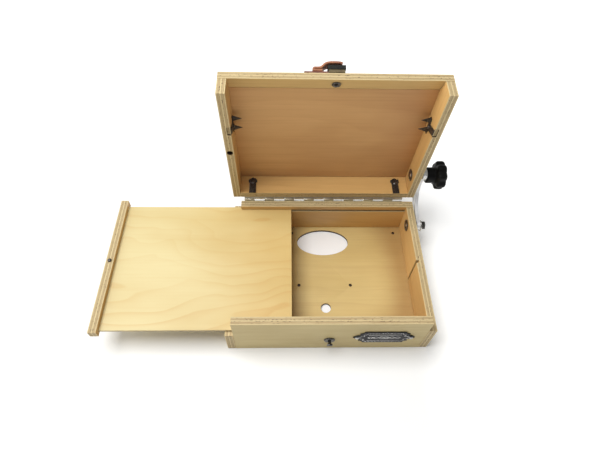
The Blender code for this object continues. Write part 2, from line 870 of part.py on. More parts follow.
# ---- the front's fittings ----
def build_front_fittings(front_wall):
    outward = Vector((0.0, -1.0, 0.0))
    face = Vector((0.0, front_y, post_height))
    seat = axis_matrix(face, outward)
    hole_start = axis_matrix(face - outward * ply * post_hole_share, outward)
    post_hole = rods("post_hole", [hole_start], post_stem_radius + gap, ply * 2)
    cut(front_wall, post_hole)
    bore = post_stem_radius + running_clearance
    disc_profile = [
        (post_disc_radius * post_disc_top_share, gap + post_disc_thickness),
        (post_disc_radius, gap + post_disc_thickness / 2),
        (post_disc_radius, gap),
        (bore, gap),
        (bore, gap + post_disc_thickness),
    ]
    finish(turned("turnlock_base", disc_profile, seat), *nickel)
    post_depth = ply * post_depth_share
    stem_start = axis_matrix(face - outward * post_depth, outward)
    stem_length = post_depth + post_reach - post_head_thickness / 2
    post = rods("turnlock_post", [stem_start], post_stem_radius, stem_length, None, easel, 20)
    head_middle = face + outward * (post_reach - post_head_thickness / 2)
    size = Vector((post_head_length, post_head_thickness, post_head_width)) / 2
    head = block("turnlock_head", head_middle - size, head_middle + size, None, helpers)
    soften = head.modifiers.new("soften", "BEVEL")
    soften.width = post_head_rounding
    soften.segments = 2
    weld_on(post, head)
    finish(shade(post), *black_steel)
    build_label(front_wall)


def label_outline():
    """A plate with hollowed corners and a pointed tab at each end."""
    half = label_length / 2
    high = label_width / 2
    body = half * label_body_share
    hollow = high * label_hollow_share
    tab = hollow * label_tab_share
    quarter = [(half, 0.0), (half - tab, tab), (body, hollow)]
    quarter += arc_points(hollow, -90, -180, 4, (body + hollow * label_corner_share, high))
    upper = quarter + [(-x, y) for x, y in reversed(quarter)]
    lower = [(x, -y) for x, y in reversed(upper[1:-1])]
    return upper + lower


def build_label(front_wall):
    outward = Vector((0.0, -1.0, 0.0))
    place = frame_matrix((label_x, front_y, label_height), (1.0, 0.0, 0.0), (0.0, 0.0, 1.0))
    pin_x = label_length / 2 - label_pin_inset
    holes = [circle_points(screw_shank_radius + gap, 12, (side * pin_x, 0.0)) for side in (-1, 1)]
    plate = sheet("label_plate", [label_outline(), *holes], label_thickness, place, lift=gap)
    finish(plate, *pewter)
    for side, name in ((-1, "label_pin_left"), (1, "label_pin_right")):
        point = Vector((label_x + side * pin_x, front_y - gap - label_thickness - gap, label_height))
        start = axis_matrix(point + outward * gap, -outward)
        hole_length = screw_length + label_thickness + 3 * gap
        cut(front_wall, rods(name + "_hole", [start], screw_shank_radius + gap, hole_length, sides=12))
        head_radius = screw_head_radius * label_pin_share
        pin_length = screw_length * label_pin_share
        profile = screw_profile(head_radius, screw_head_height, screw_shank_radius, pin_length)
        finish(turned(name, profile, axis_matrix(point, outward), steps=16), *pewter)


# ---- the leather strap on the lid's front edge ----
def slope_frame():
    """X along the lid's width, Y up the slope, Z out of the sloped board's top."""
    return frame_matrix(slope_edge, (1.0, 0.0, 0.0), (0.0, math.cos(slope_angle), math.sin(slope_angle)))


def ribbon(points, thickness):
    """The outline of a strip of even thickness along a path, as (x, z) points."""
    above = []
    below = []
    for i, point in enumerate(points):
        before = Vector(points[max(i - 1, 0)])
        after = Vector(points[min(i + 1, len(points) - 1)])
        along = (after - before).normalized()
        across = Vector((-along.y, along.x)) * thickness / 2
        above.append(tuple(Vector(point) + across))
        below.append(tuple(Vector(point) - across))
    return above + below[::-1]


def fold_path(rest):
    """The folded strap: a lower layer, a turn at the left end, then up and over the keeper."""
    lower = rest + fold_thickness / 2
    bend = (fold_thickness + gap) / 2
    upper = lower + 2 * bend
    turn = arc_points(bend, 270, 90, 6, (-fold_left + bend, lower + bend))
    return [
        (-fold_lower_end, lower),
        *turn,
        (-fold_foot, upper),
        (-fold_crown_left, fold_crown),
        (fold_crown_right, fold_crown),
        (fold_tip, fold_crown - fold_thickness / 2),
    ]


def build_strap(slope, lid):
    on_slope = slope_frame()
    through = ply * math.cos(slope_angle)
    shank = insert_bore_radius - gap
    screw_spot = (-strap_screw_x, strap_width / 2)
    tab_outline = [
        (-strap_left, gap),
        (-strap_right, gap),
        (-strap_right, strap_width),
        (-strap_left, strap_width),
    ]
    tab_hole = circle_points(shank + gap, 16, screw_spot)
    tab = sheet("strap_tab", [tab_outline, tab_hole], strap_thickness, on_slope, lid, lift=gap)
    finish(tab, *leather)
    tab_top = strap_thickness + gap
    head_seat = on_slope @ Matrix.Translation((*screw_spot, tab_top + gap))
    screw_reach = tab_top + through * strap_screw_share
    screw_start = head_seat @ Matrix.Translation((0.0, 0.0, -screw_reach - 2 * gap))
    screw_hole = rods("strap_screw_hole", [screw_start], shank + gap, screw_reach * 2, lid)
    cut(slope, screw_hole)
    profile = screw_profile(screw_head_radius, strap_screw_head, shank, screw_reach)
    finish(turned("strap_screw", profile, head_seat, lid, 16), *nickel)

    insert_point = on_slope @ Matrix.Translation((insert_x, insert_along, 0.0))
    insert_sleeve = insert_radius * insert_sleeve_share
    insert_start = insert_point @ Matrix.Translation((0.0, 0.0, -through * 2))
    insert_hole = rods("insert_hole", [insert_start], insert_sleeve + gap, through * 4, lid)
    cut(slope, insert_hole)
    insert_profile = [
        (insert_sleeve, -gap),
        (insert_sleeve, -through - gap),
        (insert_radius, -through - gap),
        (insert_radius, -through - gap - insert_flange),
        (insert_bore_radius, -through - gap - insert_flange),
        (insert_bore_radius, -gap),
    ]
    finish(turned("strap_insert", insert_profile, insert_point, lid, 20), *nickel)

    swing = joint_empty("strap_axis", slope_edge, lid)
    plate_outline = [
        (-plate_left, 0.0),
        (plate_right, 0.0),
        (plate_right, fold_depth),
        (-plate_left, fold_depth),
    ]
    plate = sheet("turnlock_plate", [plate_outline], plate_height, on_slope, swing, lift=2 * gap)
    finish(plate, *pewter)
    keeper_outline = [
        (-keeper_left, 0.0),
        (keeper_right, 0.0),
        (keeper_right, fold_depth),
        (-keeper_left, fold_depth),
    ]
    keeper_lift = plate_height + 3 * gap
    keeper = sheet("strap_keeper", [keeper_outline], keeper_height, on_slope, swing, lift=keeper_lift)
    finish(keeper, *black_steel)
    on_edge = on_slope @ frame_matrix((0.0, fold_depth, 0.0), (1.0, 0.0, 0.0), (0.0, 0.0, 1.0))
    outline = ribbon(fold_path(tab_top + gap), fold_thickness)
    finish(sheet("strap_fold", [outline], fold_depth, on_edge, swing), *leather)


# ---- putting it together ----
front_wall, rear_wall, left_wall, right_wall = build_base()
build_palette()
lid_axis = joint_empty("lid_hinge_axis", hinge_axis)
rail_left, rail_right, rail_rear, slope_board = build_lid(lid_axis)
build_hinge(rear_wall, rail_rear, lid_axis)
build_clips(rail_left, rail_right, rail_rear, lid_axis)
build_stay(right_wall, rail_right, lid_axis)
build_front_fittings(front_wall)
build_strap(slope_board, lid_axis)
lid_axis.rotation_euler.x = -math.radians(lid_open_degrees)
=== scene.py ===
import json
import math

import bmesh
import bpy
from mathutils import Matrix, Vector

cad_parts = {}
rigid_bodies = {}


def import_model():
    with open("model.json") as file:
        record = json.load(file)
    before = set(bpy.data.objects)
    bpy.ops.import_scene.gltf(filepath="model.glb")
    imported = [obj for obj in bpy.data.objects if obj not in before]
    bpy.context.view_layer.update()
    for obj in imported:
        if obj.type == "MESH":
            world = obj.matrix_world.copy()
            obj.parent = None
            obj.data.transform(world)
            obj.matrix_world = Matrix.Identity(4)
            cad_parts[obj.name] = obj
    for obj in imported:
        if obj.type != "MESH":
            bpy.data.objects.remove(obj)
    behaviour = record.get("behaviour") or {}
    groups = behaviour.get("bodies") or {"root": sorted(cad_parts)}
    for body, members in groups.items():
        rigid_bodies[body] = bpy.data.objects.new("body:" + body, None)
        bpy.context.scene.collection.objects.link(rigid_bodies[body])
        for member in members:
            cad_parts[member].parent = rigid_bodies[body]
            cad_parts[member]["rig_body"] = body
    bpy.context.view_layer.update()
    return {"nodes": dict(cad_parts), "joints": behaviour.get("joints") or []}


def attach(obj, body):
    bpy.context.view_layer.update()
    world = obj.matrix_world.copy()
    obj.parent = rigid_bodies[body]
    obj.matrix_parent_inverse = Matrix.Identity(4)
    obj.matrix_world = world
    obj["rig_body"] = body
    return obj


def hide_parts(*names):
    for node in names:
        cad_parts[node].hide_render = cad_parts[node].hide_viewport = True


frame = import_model()
print("frame loaded:", len(frame["nodes"]), "nodes")

joints = {joint["name"]: joint for joint in frame["joints"]}
hingeAxis = Vector(joints["lid_hinge"]["pos_m"])
lidOpen = math.radians(-joints["lid_hinge"]["range_deg"][0])  # it shuts by as much as it stands open
toOpen = Matrix.Translation(hingeAxis) @ Matrix.Rotation(-lidOpen, 4, "X") @ Matrix.Translation(-hingeAxis)
toShut = toOpen.inverted()
mm = 0.001
xAxis = Vector((1, 0, 0))
yAxis = Vector((0, 1, 0))
zAxis = Vector((0, 0, 1))
mergeDistance = 0.002 * mm


# a wire is a socket that takes part in plain expressions
class Wire:
    def __init__(self, graph, socket):
        self.graph = graph
        self.socket = socket

    def maths(self, operation, first, second=0.0):
        return self.graph.maths(operation, first, second)

    def __add__(self, other):
        return self.maths("ADD", self, other)

    def __radd__(self, other):
        return self.maths("ADD", other, self)

    def __sub__(self, other):
        return self.maths("SUBTRACT", self, other)

    def __rsub__(self, other):
        return self.maths("SUBTRACT", other, self)

    def __mul__(self, other):
        return self.maths("MULTIPLY", self, other)

    def __rmul__(self, other):
        return self.maths("MULTIPLY", other, self)

    def __truediv__(self, other):
        return self.maths("DIVIDE", self, other)

    def __pow__(self, other):
        return self.maths("POWER", self, other)

    def size(self):
        return self.maths("ABSOLUTE", self)

    def atLeast(self, other):
        return self.maths("MAXIMUM", self, other)


class Graph:
    def __init__(self, tree):
        self.tree = tree

    # any node: its settings first, then its sockets' values or links; it gives back one output
    def node(self, kind, settings=None, values=None, out=0):
        made = self.tree.nodes.new(kind)
        for name, value in (settings or {}).items():
            if name == "stops":
                self.setStops(made.color_ramp, value)
            else:
                setattr(made, name, value)
        for name, value in (values or {}).items():
            socket = self.pick(made.inputs, name)
            if isinstance(value, Wire):
                self.tree.links.new(value.socket, socket)
            elif socket.type == "RGBA" and len(value) == 3:
                socket.default_value = (*value, 1.0)
            else:
                socket.default_value = value
        return Wire(self, self.pick(made.outputs, out))

    def pick(self, sockets, name):
        if isinstance(name, int):
            return sockets[name]
        for socket in sockets:
            if socket.identifier == name:
                return socket
        return sockets[name]

    def setStops(self, ramp, stops):
        while len(ramp.elements) < len(stops):
            ramp.elements.new(1.0)
        for element, (place, colour) in zip(ramp.elements, stops):
            element.position = place
            element.color = (*(colour if isinstance(colour, tuple) else 3 * (colour,)), 1.0)

    def maths(self, operation, first, second=0.0):
        return self.node("ShaderNodeMath", {"operation": operation}, {0: first, 1: second})

    def parts(self, vector):
        first = self.node("ShaderNodeSeparateXYZ", values={"Vector": vector})
        outputs = first.socket.node.outputs
        return [Wire(self, outputs[i]) for i in range(3)]

    def join(self, x, y, z):
        return self.node("ShaderNodeCombineXYZ", values={"X": x, "Y": y, "Z": z})

    def mix(self, share, first, second, blend="MIX"):
        values = {"Factor_Float": share, "A_Color": first, "B_Color": second}
        settings = {"data_type": "RGBA", "blend_type": blend, "clamp_factor": True}
        return self.node("ShaderNodeMix", settings, values, "Result_Color")

    def noise(self, place, scale, detail=3.0, rough=0.5, twist=0.0):
        values = {"Vector": place, "Scale": scale, "Detail": detail, "Roughness": rough, "Distortion": twist}
        return self.node("ShaderNodeTexNoise", None, values, "Fac")

    # noise on a place stretched by its own amount along each part
    def grain(self, parts, runs, detail=3.0, rough=0.5, twist=0.0):
        x, y, z = [part * run for part, run in zip(parts, runs)]
        return self.noise(self.join(x, y, z), 1.0, detail, rough, twist)

    def cells(self, place, scale, feature="F1"):
        values = {"Vector": place, "Scale": scale}
        return self.node("ShaderNodeTexVoronoi", {"feature": feature}, values, "Distance")

    def ramp(self, value, stops):
        return self.node("ShaderNodeValToRGB", {"stops": stops}, {"Fac": value}, "Color")

    def between(self, value, low, high):
        values = {"Value": value, "From Min": low, "From Max": high}
        settings = {"interpolation_type": "SMOOTHSTEP", "clamp": True}
        return self.node("ShaderNodeMapRange", settings, values, "Result")


class Finish(Graph):
    def __init__(self, name):
        self.material = bpy.data.materials.new(name)
        self.material.use_nodes = True
        super().__init__(self.material.node_tree)
        self.shader = self.tree.nodes["Principled BSDF"]

    def give(self, **sockets):
        for name, value in sockets.items():
            socket = self.shader.inputs[socketNames[name]]
            if isinstance(value, Wire):
                self.tree.links.new(value.socket, socket)
            elif socket.type == "RGBA":
                socket.default_value = (*value, 1.0)
            else:
                socket.default_value = value
        return self.material

    def bump(self, height, distance, strength):
        values = {"Height": height, "Distance": distance, "Strength": strength}
        return self.node("ShaderNodeBump", None, values, "Normal")

    def place(self):
        return self.node("ShaderNodeTexCoord", out="Object")

    def attribute(self, name, out="Vector"):
        return self.node("ShaderNodeAttribute", {"attribute_name": name}, out=out)


socketNames = {
    "colour": "Base Color",
    "roughness": "Roughness",
    "metallic": "Metallic",
    "normal": "Normal",
    "specular": "Specular IOR Level",
    "emission": "Emission Color",
    "emissionStrength": "Emission Strength",
}


finishes = {}


def linked(name, data):
    made = bpy.data.objects.new(name, data)
    bpy.context.scene.collection.objects.link(made)
    return made


# the plain mesh that an object's modifiers make; the object itself goes
def madePlain(holder, name):
    evaluated = holder.evaluated_get(bpy.context.evaluated_depsgraph_get())
    made = bpy.data.meshes.new_from_object(evaluated)
    made.name = name
    bpy.data.objects.remove(holder)
    return made


def painted(mesh, finish):
    mesh.materials.clear()
    mesh.materials.append(finishes[finish])
    return mesh


def bodyOf(node):
    return frame["nodes"][node]["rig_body"]


def pieceName(node):
    first, *rest = node.split("_")
    return first + "".join(word.capitalize() for word in rest)


# a piece stands in for its nodes and rides on their body
def addPiece(mesh, nodes, name=None):
    piece = linked(name or pieceName(nodes[0]), mesh)
    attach(piece, bodyOf(nodes[0]))
    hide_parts(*nodes)


# pieces of the lid are drawn with the lid shut, and this swings them open
def turnOf(node):
    return toOpen if bodyOf(node) in ("lid", "knob") else Matrix.Identity(4)


# the box of a CAD node, with the lid shut
def boxOf(node):
    back = turnOf(node).inverted()
    points = [back @ vertex.co for vertex in frame["nodes"][node].data.vertices]
    low = Vector([min(point[k] for point in points) for k in range(3)])
    high = Vector([max(point[k] for point in points) for k in range(3)])
    return low, high, (low + high) / 2


# the middle of the box's end that the direction points to
def endOf(node, direction):
    low, high, middle = boxOf(node)
    for k in range(3):
        if abs(direction[k]) > 0.5:
            middle[k] = high[k] if direction[k] > 0 else low[k]
    return middle


def turnTo(place, outward):
    return Matrix.Translation(place) @ Vector(outward).to_track_quat("Z", "Y").to_matrix().to_4x4()


def meshOf(work, name):
    mesh = bpy.data.meshes.new(name)
    work.to_mesh(mesh)
    work.free()
    return mesh


def withModifiers(mesh, name, modifiers):
    holder = linked(name, mesh)
    for kind, settings in modifiers:
        modifier = holder.modifiers.new(kind, kind)
        for setting, value in settings.items():
            setattr(modifier, setting, value)
    return madePlain(holder, name)


softenLook = {"flatAngle": math.radians(0.4), "sharpAngle": math.radians(30.0), "segments": 3}


# the convex edges of a CAD solid take a small round, and its flat faces become whole ones
def softened(node, roundness):
    look = softenLook
    work = bmesh.new()
    work.from_mesh(frame["nodes"][node].data)
    bmesh.ops.remove_doubles(work, verts=work.verts, dist=mergeDistance)
    bmesh.ops.dissolve_limit(work, angle_limit=look["flatAngle"], verts=work.verts, edges=work.edges)
    weight = work.edges.layers.float.new("bevel_weight_edge")
    for edge in work.edges:
        if len(edge.link_faces) == 2 and edge.is_convex and edge.calc_face_angle() > look["sharpAngle"]:
            edge[weight] = 1.0
    mesh = meshOf(work, pieceName(node))
    mesh.shade_smooth()
    mesh.set_sharp_from_angle(angle=look["sharpAngle"])
    bevel = {"width": roundness, "segments": look["segments"], "limit_method": "WEIGHT"}
    return withModifiers(mesh, mesh.name, [("BEVEL", {**bevel, "harden_normals": True})])


# runs stretch the wood's noises along the grain, across it and through the board
plyLook = {
    "seedSpread": 3.7,
    "runs": {
        "fibres": (9.0, 420.0, 40.0), "streaks": (2.6, 60.0, 9.0), "clouds": (7.0, 16.0, 3.0),
        "endFleck": (700.0, 700.0, 1500.0), "endBands": (45.0, 45.0, 14.0), "glue": (120.0, 120.0, 6.0),
        "voids": (380.0, 380.0, 9.0),
    },
    "knotTone": (0.25, 0.12, 0.05), "voidTone": (0.07, 0.035, 0.02), "boreTone": (0.045, 0.022, 0.01),
}
boreLook = {"margin": 2.0 * mm, "skin": 0.5 * mm, "area": 4.0 * mm * mm, "seatArea": 16.0 * mm * mm}


def fillAttribute(mesh, name, kind, domain, field, values):
    layer = mesh.attributes.new(name, kind, domain)
    layer.data.foreach_set(field, values)


# the walls and seats of drilled holes, which take a painted shade: small faces inside the board, away from
# its rim
def borings(mesh, through):
    low = [min(vertex.co[k] for vertex in mesh.vertices) + boreLook["margin"] for k in range(3)]
    high = [max(vertex.co[k] for vertex in mesh.vertices) - boreLook["margin"] for k in range(3)]
    depths = [vertex.co.dot(through) for vertex in mesh.vertices]
    top = max(depths) - boreLook["skin"]
    bottom = min(depths) + boreLook["skin"]
    free = [k for k in range(3) if abs(through[k]) < 0.5]
    found = []
    for polygon in mesh.polygons:
        inside = all(low[k] < polygon.center[k] < high[k] for k in free)
        wall = polygon.area < boreLook["area"] and abs(polygon.normal.dot(through)) < 0.9
        seat = polygon.area < boreLook["seatArea"] and bottom < polygon.center.dot(through) < top
        found.append(1.0 if inside and (wall or seat) else 0.0)
    return found


# boardSpace is a point's place in its board: along the grain, across it and through it, in metres;
# plyShare is its place through the thickness, from 0 to 1; edgeCut says how far a face cuts across the plies;
# insideFace says how far a face looks towards the middle of its tray
def layPly(mesh, middle, along, through, thickness, seed, heart):
    across = through.cross(along)
    shift = seed * plyLook["seedSpread"]
    places = []
    shares = []
    for vertex in mesh.vertices:
        offset = vertex.co - middle
        depth = offset.dot(through)
        places += [offset.dot(along) + shift, offset.dot(across) - shift * 0.6, depth]
        shares.append(depth / thickness + 0.5)
    cuts = [1.0 - abs(polygon.normal.dot(through)) for polygon in mesh.polygons]
    fillAttribute(mesh, "boardSpace", "FLOAT_VECTOR", "POINT", "vector", places)
    fillAttribute(mesh, "plyShare", "FLOAT", "POINT", "value", shares)
    fillAttribute(mesh, "edgeCut", "FLOAT", "FACE", "value", cuts)
    fillAttribute(mesh, "bore", "FLOAT", "FACE", "value", borings(mesh, through))
    inward = (heart - middle).normalized()
    inside = [max(0.0, polygon.normal.dot(inward)) for polygon in mesh.polygons]
    fillAttribute(mesh, "insideFace", "FLOAT", "FACE", "value", inside)


def plyFinish(name, look):
    f = Finish(name)
    runs = plyLook["runs"]
    u, v, w = board = f.parts(f.attribute("boardSpace"))
    share = f.attribute("plyShare", "Fac")
    edgeSpace = (u, v, share)
    cut = f.between(f.attribute("edgeCut", "Fac"), 0.45, 0.55)

    # the face: long fibres, slower streaks, the flame of a rotary-cut sheet and a few pin knots
    fibres = f.grain(board, runs["fibres"], 3.0, 0.6)
    streaks = f.grain(board, runs["streaks"], 4.0, 0.55, 0.3)
    clouds = f.grain(board, runs["clouds"])
    flameField = f.grain(board, (look["flameAlong"], look["flameAcross"], 2.0), 2.2, 0.45, 0.5)
    rings = f.maths("FRACT", flameField * look["rings"] + v * look["ringsAcross"] + fibres * 0.12)
    patch = f.noise(f.join(u * 5.0, v * 9.0, w + 3.0), 1.0, 1.0, 0.4)
    flame = (rings ** 3.0) * f.between(1.0 - rings, 0.0, 0.08) * (f.between(patch, 0.36, 0.62) * 0.75 + 0.25)
    knots = f.cells(f.join(u * 8.0, v * 24.0, w * 1.0), 1.0)
    knot = 1.0 - f.between(knots, 0.015, 0.055)
    face = f.mix(f.between(clouds, 0.3, 0.72), look["pale"], look["deep"])
    face = f.mix(flame * look["flame"], face, look["flameTint"])
    face = f.mix(f.between(streaks, 0.5, 0.78) * look["streak"], face, look["flameTint"])
    face = f.mix(f.between(fibres, 0.42, 0.75) * look["fibre"], face, look["fibreTint"])
    face = f.mix(knot * look["knot"], face, plyLook["knotTone"])

    # the cut edge: veneers in turn, glue lines of uneven darkness, and voids along them
    side = (share - 0.5).size() * 2.0
    layers = f.ramp(side, pliesLook["stops"])
    endFleck = f.grain(board, runs["endFleck"], 2.0, 0.6)
    bands = f.grain(edgeSpace, runs["endBands"], 3.0, 0.55)
    edge = f.mix(f.between(endFleck, 0.35, 0.8) * 0.35, layers, look["edgeFleck"])
    edge = f.mix(f.between(bands, 0.35, 0.75) * 0.4, edge, look["edgePale"])
    lines = f.ramp(side, pliesLook["lines"])
    uneven = f.grain(edgeSpace, runs["glue"], 2.0)
    edge = f.mix(lines * f.between(uneven, 0.2, 0.7) * look["glue"], edge, look["glueTint"])
    gaps = f.ramp(side, pliesLook["gaps"])
    voids = f.grain(edgeSpace, runs["voids"], 1.0)
    voids = f.between(voids, look["voidFrom"], look["voidFrom"] + 0.05)
    edge = f.mix(gaps * voids, edge, plyLook["voidTone"])

    # faces that look into a tray take a painted warm bounce light, and a painted shade darkens a board's tone
    # from one end to the other
    # painted bounce light: faces that look into a tray are multiplied by a warm tint, brighter in red and
    # darker in blue
    inside = f.between(f.attribute("insideFace", "Fac"), 0.2, 0.6)
    face = f.mix(inside * look.get("warmth", 0.0), face, look.get("warmTint", face), "MULTIPLY")
    if "drift" in look:
        x, y, z = f.parts(f.place())
        start, end = look["drift"]
        if "driftY" in look:  # the painted shade grows from a middle outwards, over a rounded rectangle
            sideways = ((x - start) / (end - start)).size() ** 2.5
            x = sideways + ((y - look["driftY"]) / look["driftDeep"]).size() ** 2.5
            start, end = 0.1, 0.9
        # painted shade: the face darkens towards the right on the lid panel and the palette, and from the
        # middle towards the walls on the floor
        drift = f.between(x + (clouds - 0.5) * look["driftStir"], start, end)
        face = f.mix(drift, face, look["driftTint"], "MULTIPLY")
    colour = f.mix(cut, face, edge)
    # painted shade: the walls and seats of drilled holes turn near-black
    colour = f.mix(f.attribute("bore", "Fac"), colour, plyLook["boreTone"])
    rough = look["roughness"] + (fibres - 0.5) * 0.12 + cut * 0.12
    height = fibres * (1.0 - cut) * 0.5 + (endFleck * 0.5 - lines * 0.6) * cut
    normal = f.bump(height, look["relief"], 0.6)
    return f.give(colour=colour, roughness=rough, normal=normal, specular=0.35)


# from the middle of the thickness out to the face: the veneers' tones, the glue lines and where voids may lie
cream = (0.61, 0.49, 0.26)
tan = (0.43, 0.31, 0.155)
pliesLook = {
    "stops": [(0.0, cream), (0.22, cream), (0.24, tan), (0.66, tan), (0.68, cream), (1.0, cream)],
    "lines": [(0.19, 0.0), (0.22, 1.0), (0.24, 1.0), (0.27, 0.0),
              (0.63, 0.0), (0.66, 0.8), (0.68, 0.8), (0.71, 0.0)],
    "gaps": [(0.10, 0.0), (0.17, 1.0), (0.30, 1.0), (0.36, 0.0),
             (0.6, 0.0), (0.64, 0.7), (0.7, 0.7), (0.74, 0.0)],
}
edgeLook = {
    "edgeFleck": (0.33, 0.22, 0.11), "edgePale": (0.70, 0.58, 0.33), "glue": 0.95,
    "glueTint": (0.10, 0.055, 0.03), "voidFrom": 0.61, "roughness": 0.5, "relief": 0.00012,
}
# the shade entries of innerPly, floorPly and palettePly paint shade over the face
plyLooks = {
    "outerPly": {
        **edgeLook, "pale": (0.63, 0.51, 0.245), "deep": (0.55, 0.43, 0.195), "flameTint": (0.43, 0.30, 0.12),
        "fibreTint": (0.45, 0.33, 0.15), "flame": 0.25, "streak": 0.3, "fibre": 0.3, "knot": 0.5,
        "flameAlong": 5.0, "flameAcross": 14.0, "rings": 4.0, "ringsAcross": 45.0,
        "warmth": 1.0, "warmTint": (1.12, 0.88, 0.70),
    },
    # the lid panel's redder, darker tone is partly its own and partly painted warm shade from inside the lid
    "innerPly": {
        **edgeLook, "pale": (0.68, 0.405, 0.175), "deep": (0.60, 0.34, 0.14), "flameTint": (0.50, 0.26, 0.10),
        "fibreTint": (0.48, 0.25, 0.10), "flame": 0.22, "streak": 0.35, "fibre": 0.25, "knot": 0.4,
        "flameAlong": 4.0, "flameAcross": 12.0, "rings": 3.5, "ringsAcross": 40.0, "drift": (0.02, 0.13),
        "driftStir": 0.05, "driftTint": (0.80, 0.72, 0.66),
    },
    "floorPly": {
        **edgeLook, "pale": (0.62, 0.47, 0.195), "deep": (0.56, 0.405, 0.155),
        "flameTint": (0.46, 0.29, 0.11), "fibreTint": (0.46, 0.31, 0.12),
        "flame": 0.3, "streak": 0.3, "fibre": 0.22, "knot": 0.4,
        "flameAlong": 4.0, "flameAcross": 11.0, "rings": 3.5, "ringsAcross": 40.0,
        "drift": (0.02, 0.11), "driftY": 0.01, "driftDeep": 0.13, "driftStir": 0.3,
        "driftTint": (0.64, 0.54, 0.48),
    },
    "palettePly": {
        **edgeLook, "pale": (0.715, 0.61, 0.325), "deep": (0.675, 0.555, 0.275),
        "flameTint": (0.60, 0.39, 0.14), "fibreTint": (0.66, 0.52, 0.25),
        "flame": 0.55, "streak": 0.25, "fibre": 0.22, "knot": 0.8,
        "flameAlong": 6.0, "flameAcross": 12.0, "rings": 6.5, "ringsAcross": 52.0, "roughness": 0.42,
        "drift": (-0.23, -0.03), "driftStir": 0.08, "driftTint": (0.87, 0.75, 0.56),
    },
}
finishes.update({name: plyFinish(name, look) for name, look in plyLooks.items()})

slopeFall = math.atan2(6.2, 17.5)  # how the lid's front board falls towards its edge
slopeThrough = Vector((0, -math.sin(slopeFall), math.cos(slopeFall)))
# the way the grain runs, the way the plies are stacked, the finish and the slot, with the lid shut
boardLooks = {
    "base_front_wall": (xAxis, yAxis, "outerPly", "birch_ply"),
    "base_rear_wall": (xAxis, yAxis, "outerPly", "birch_ply"),
    "base_left_wall": (yAxis, xAxis, "outerPly", "birch_ply"),
    "base_right_wall": (yAxis, xAxis, "outerPly", "birch_ply"),
    "base_floor": (xAxis, zAxis, "floorPly", "interior_ply"),
    "palette_panel": (xAxis, zAxis, "palettePly", "palette_face"),
    "palette_strip": (yAxis, xAxis, "outerPly", "birch_ply"),
    "lid_panel": (xAxis, zAxis, "innerPly", "interior_ply"),
    "lid_front_slope": (xAxis, slopeThrough, "outerPly", "birch_ply"),
    "lid_rail_left": (yAxis, xAxis, "outerPly", "birch_ply"),
    "lid_rail_right": (yAxis, xAxis, "outerPly", "birch_ply"),
    "lid_rail_rear": (xAxis, yAxis, "outerPly", "birch_ply"),
}
boardRound = 0.35 * mm
trayMiddle = Vector((0, 0, 30 * mm))
hearts = {"base": trayMiddle, "palette": trayMiddle, "lid": toOpen @ Vector((0, 0, 60 * mm))}


def buildBoards():
    for seed, (node, (along, through, finish, slot)) in enumerate(boardLooks.items()):
        mesh = softened(node, boardRound)
        turn = turnOf(node).to_3x3()
        along = turn @ along
        through = turn @ through
        depths = [vertex.co.dot(through) for vertex in mesh.vertices]
        thickness = max(depths) - min(depths)
        middle = through * (max(depths) + min(depths)) / 2
        middle = middle + along * sum(vertex.co.dot(along) for vertex in mesh.vertices) / len(mesh.vertices)
        layPly(mesh, middle, along, through, thickness, seed, hearts[bodyOf(node)])
        addPiece(painted(mesh, finish), [node])
    print("boards softened:", len(boardLooks))


# a growth is a node group that turns a starting mesh into a finished one
class Growth(Graph):
    def __init__(self, name, inputs):
        super().__init__(bpy.data.node_groups.new(name, "GeometryNodeTree"))
        sockets = self.tree.interface
        sockets.new_socket("Start", in_out="INPUT", socket_type="NodeSocketGeometry")
        sockets.new_socket("Grown", in_out="OUTPUT", socket_type="NodeSocketGeometry")
        for label, kind in inputs.items():
            sockets.new_socket(label, in_out="INPUT", socket_type="NodeSocket" + kind)
        self.entry = self.tree.nodes.new("NodeGroupInput")
        self.exit = self.tree.nodes.new("NodeGroupOutput")

    def read(self, label):
        return Wire(self, self.entry.outputs[label])

    def close(self, geometry):
        real = self.node("GeometryNodeRealizeInstances", None, {"Geometry": geometry})
        values = {"Geometry": real, "Material": self.read("Material")}
        done = self.node("GeometryNodeSetMaterial", None, values)
        self.tree.links.new(done.socket, self.exit.inputs["Grown"])

    def grow(self, name, start, values):
        holder = linked(name, start)
        modifier = holder.modifiers.new("growth", "NODES")
        modifier.node_group = self.tree
        for item in self.tree.interface.items_tree:
            if item.in_out == "INPUT" and item.name in values:
                modifier[item.identifier] = values[item.name]
        return madePlain(holder, name)


# copies of the starting mesh along a line, each spun about its own axis by a little chance
def rowGrowth():
    g = Growth("copiesInARow", {"Count": "Int", "First": "Vector", "Step": "Vector", "Turn": "Vector",
                                "Spin": "Float", "Seed": "Int", "Material": "Material"})
    values = {"Count": g.read("Count"), "Start Location": g.read("First"), "Offset": g.read("Step")}
    line = g.node("GeometryNodeMeshLine", {"mode": "OFFSET"}, values)
    turn = g.node("FunctionNodeEulerToRotation", None, {"Euler": g.read("Turn")})
    values = {"Points": line, "Instance": g.read("Start"), "Rotation": turn}
    copies = g.node("GeometryNodeInstanceOnPoints", None, values)
    values = {"Min_001": -1.0, "Max_001": 1.0, "Seed": g.read("Seed")}
    chance = g.node("FunctionNodeRandomValue", {"data_type": "FLOAT"}, values, "Value_001")
    spin = g.node("FunctionNodeEulerToRotation", None, {"Euler": g.join(0.0, 0.0, chance * g.read("Spin"))})
    g.close(g.node("GeometryNodeRotateInstances", None, {"Instances": copies, "Rotation": spin}))
    return g


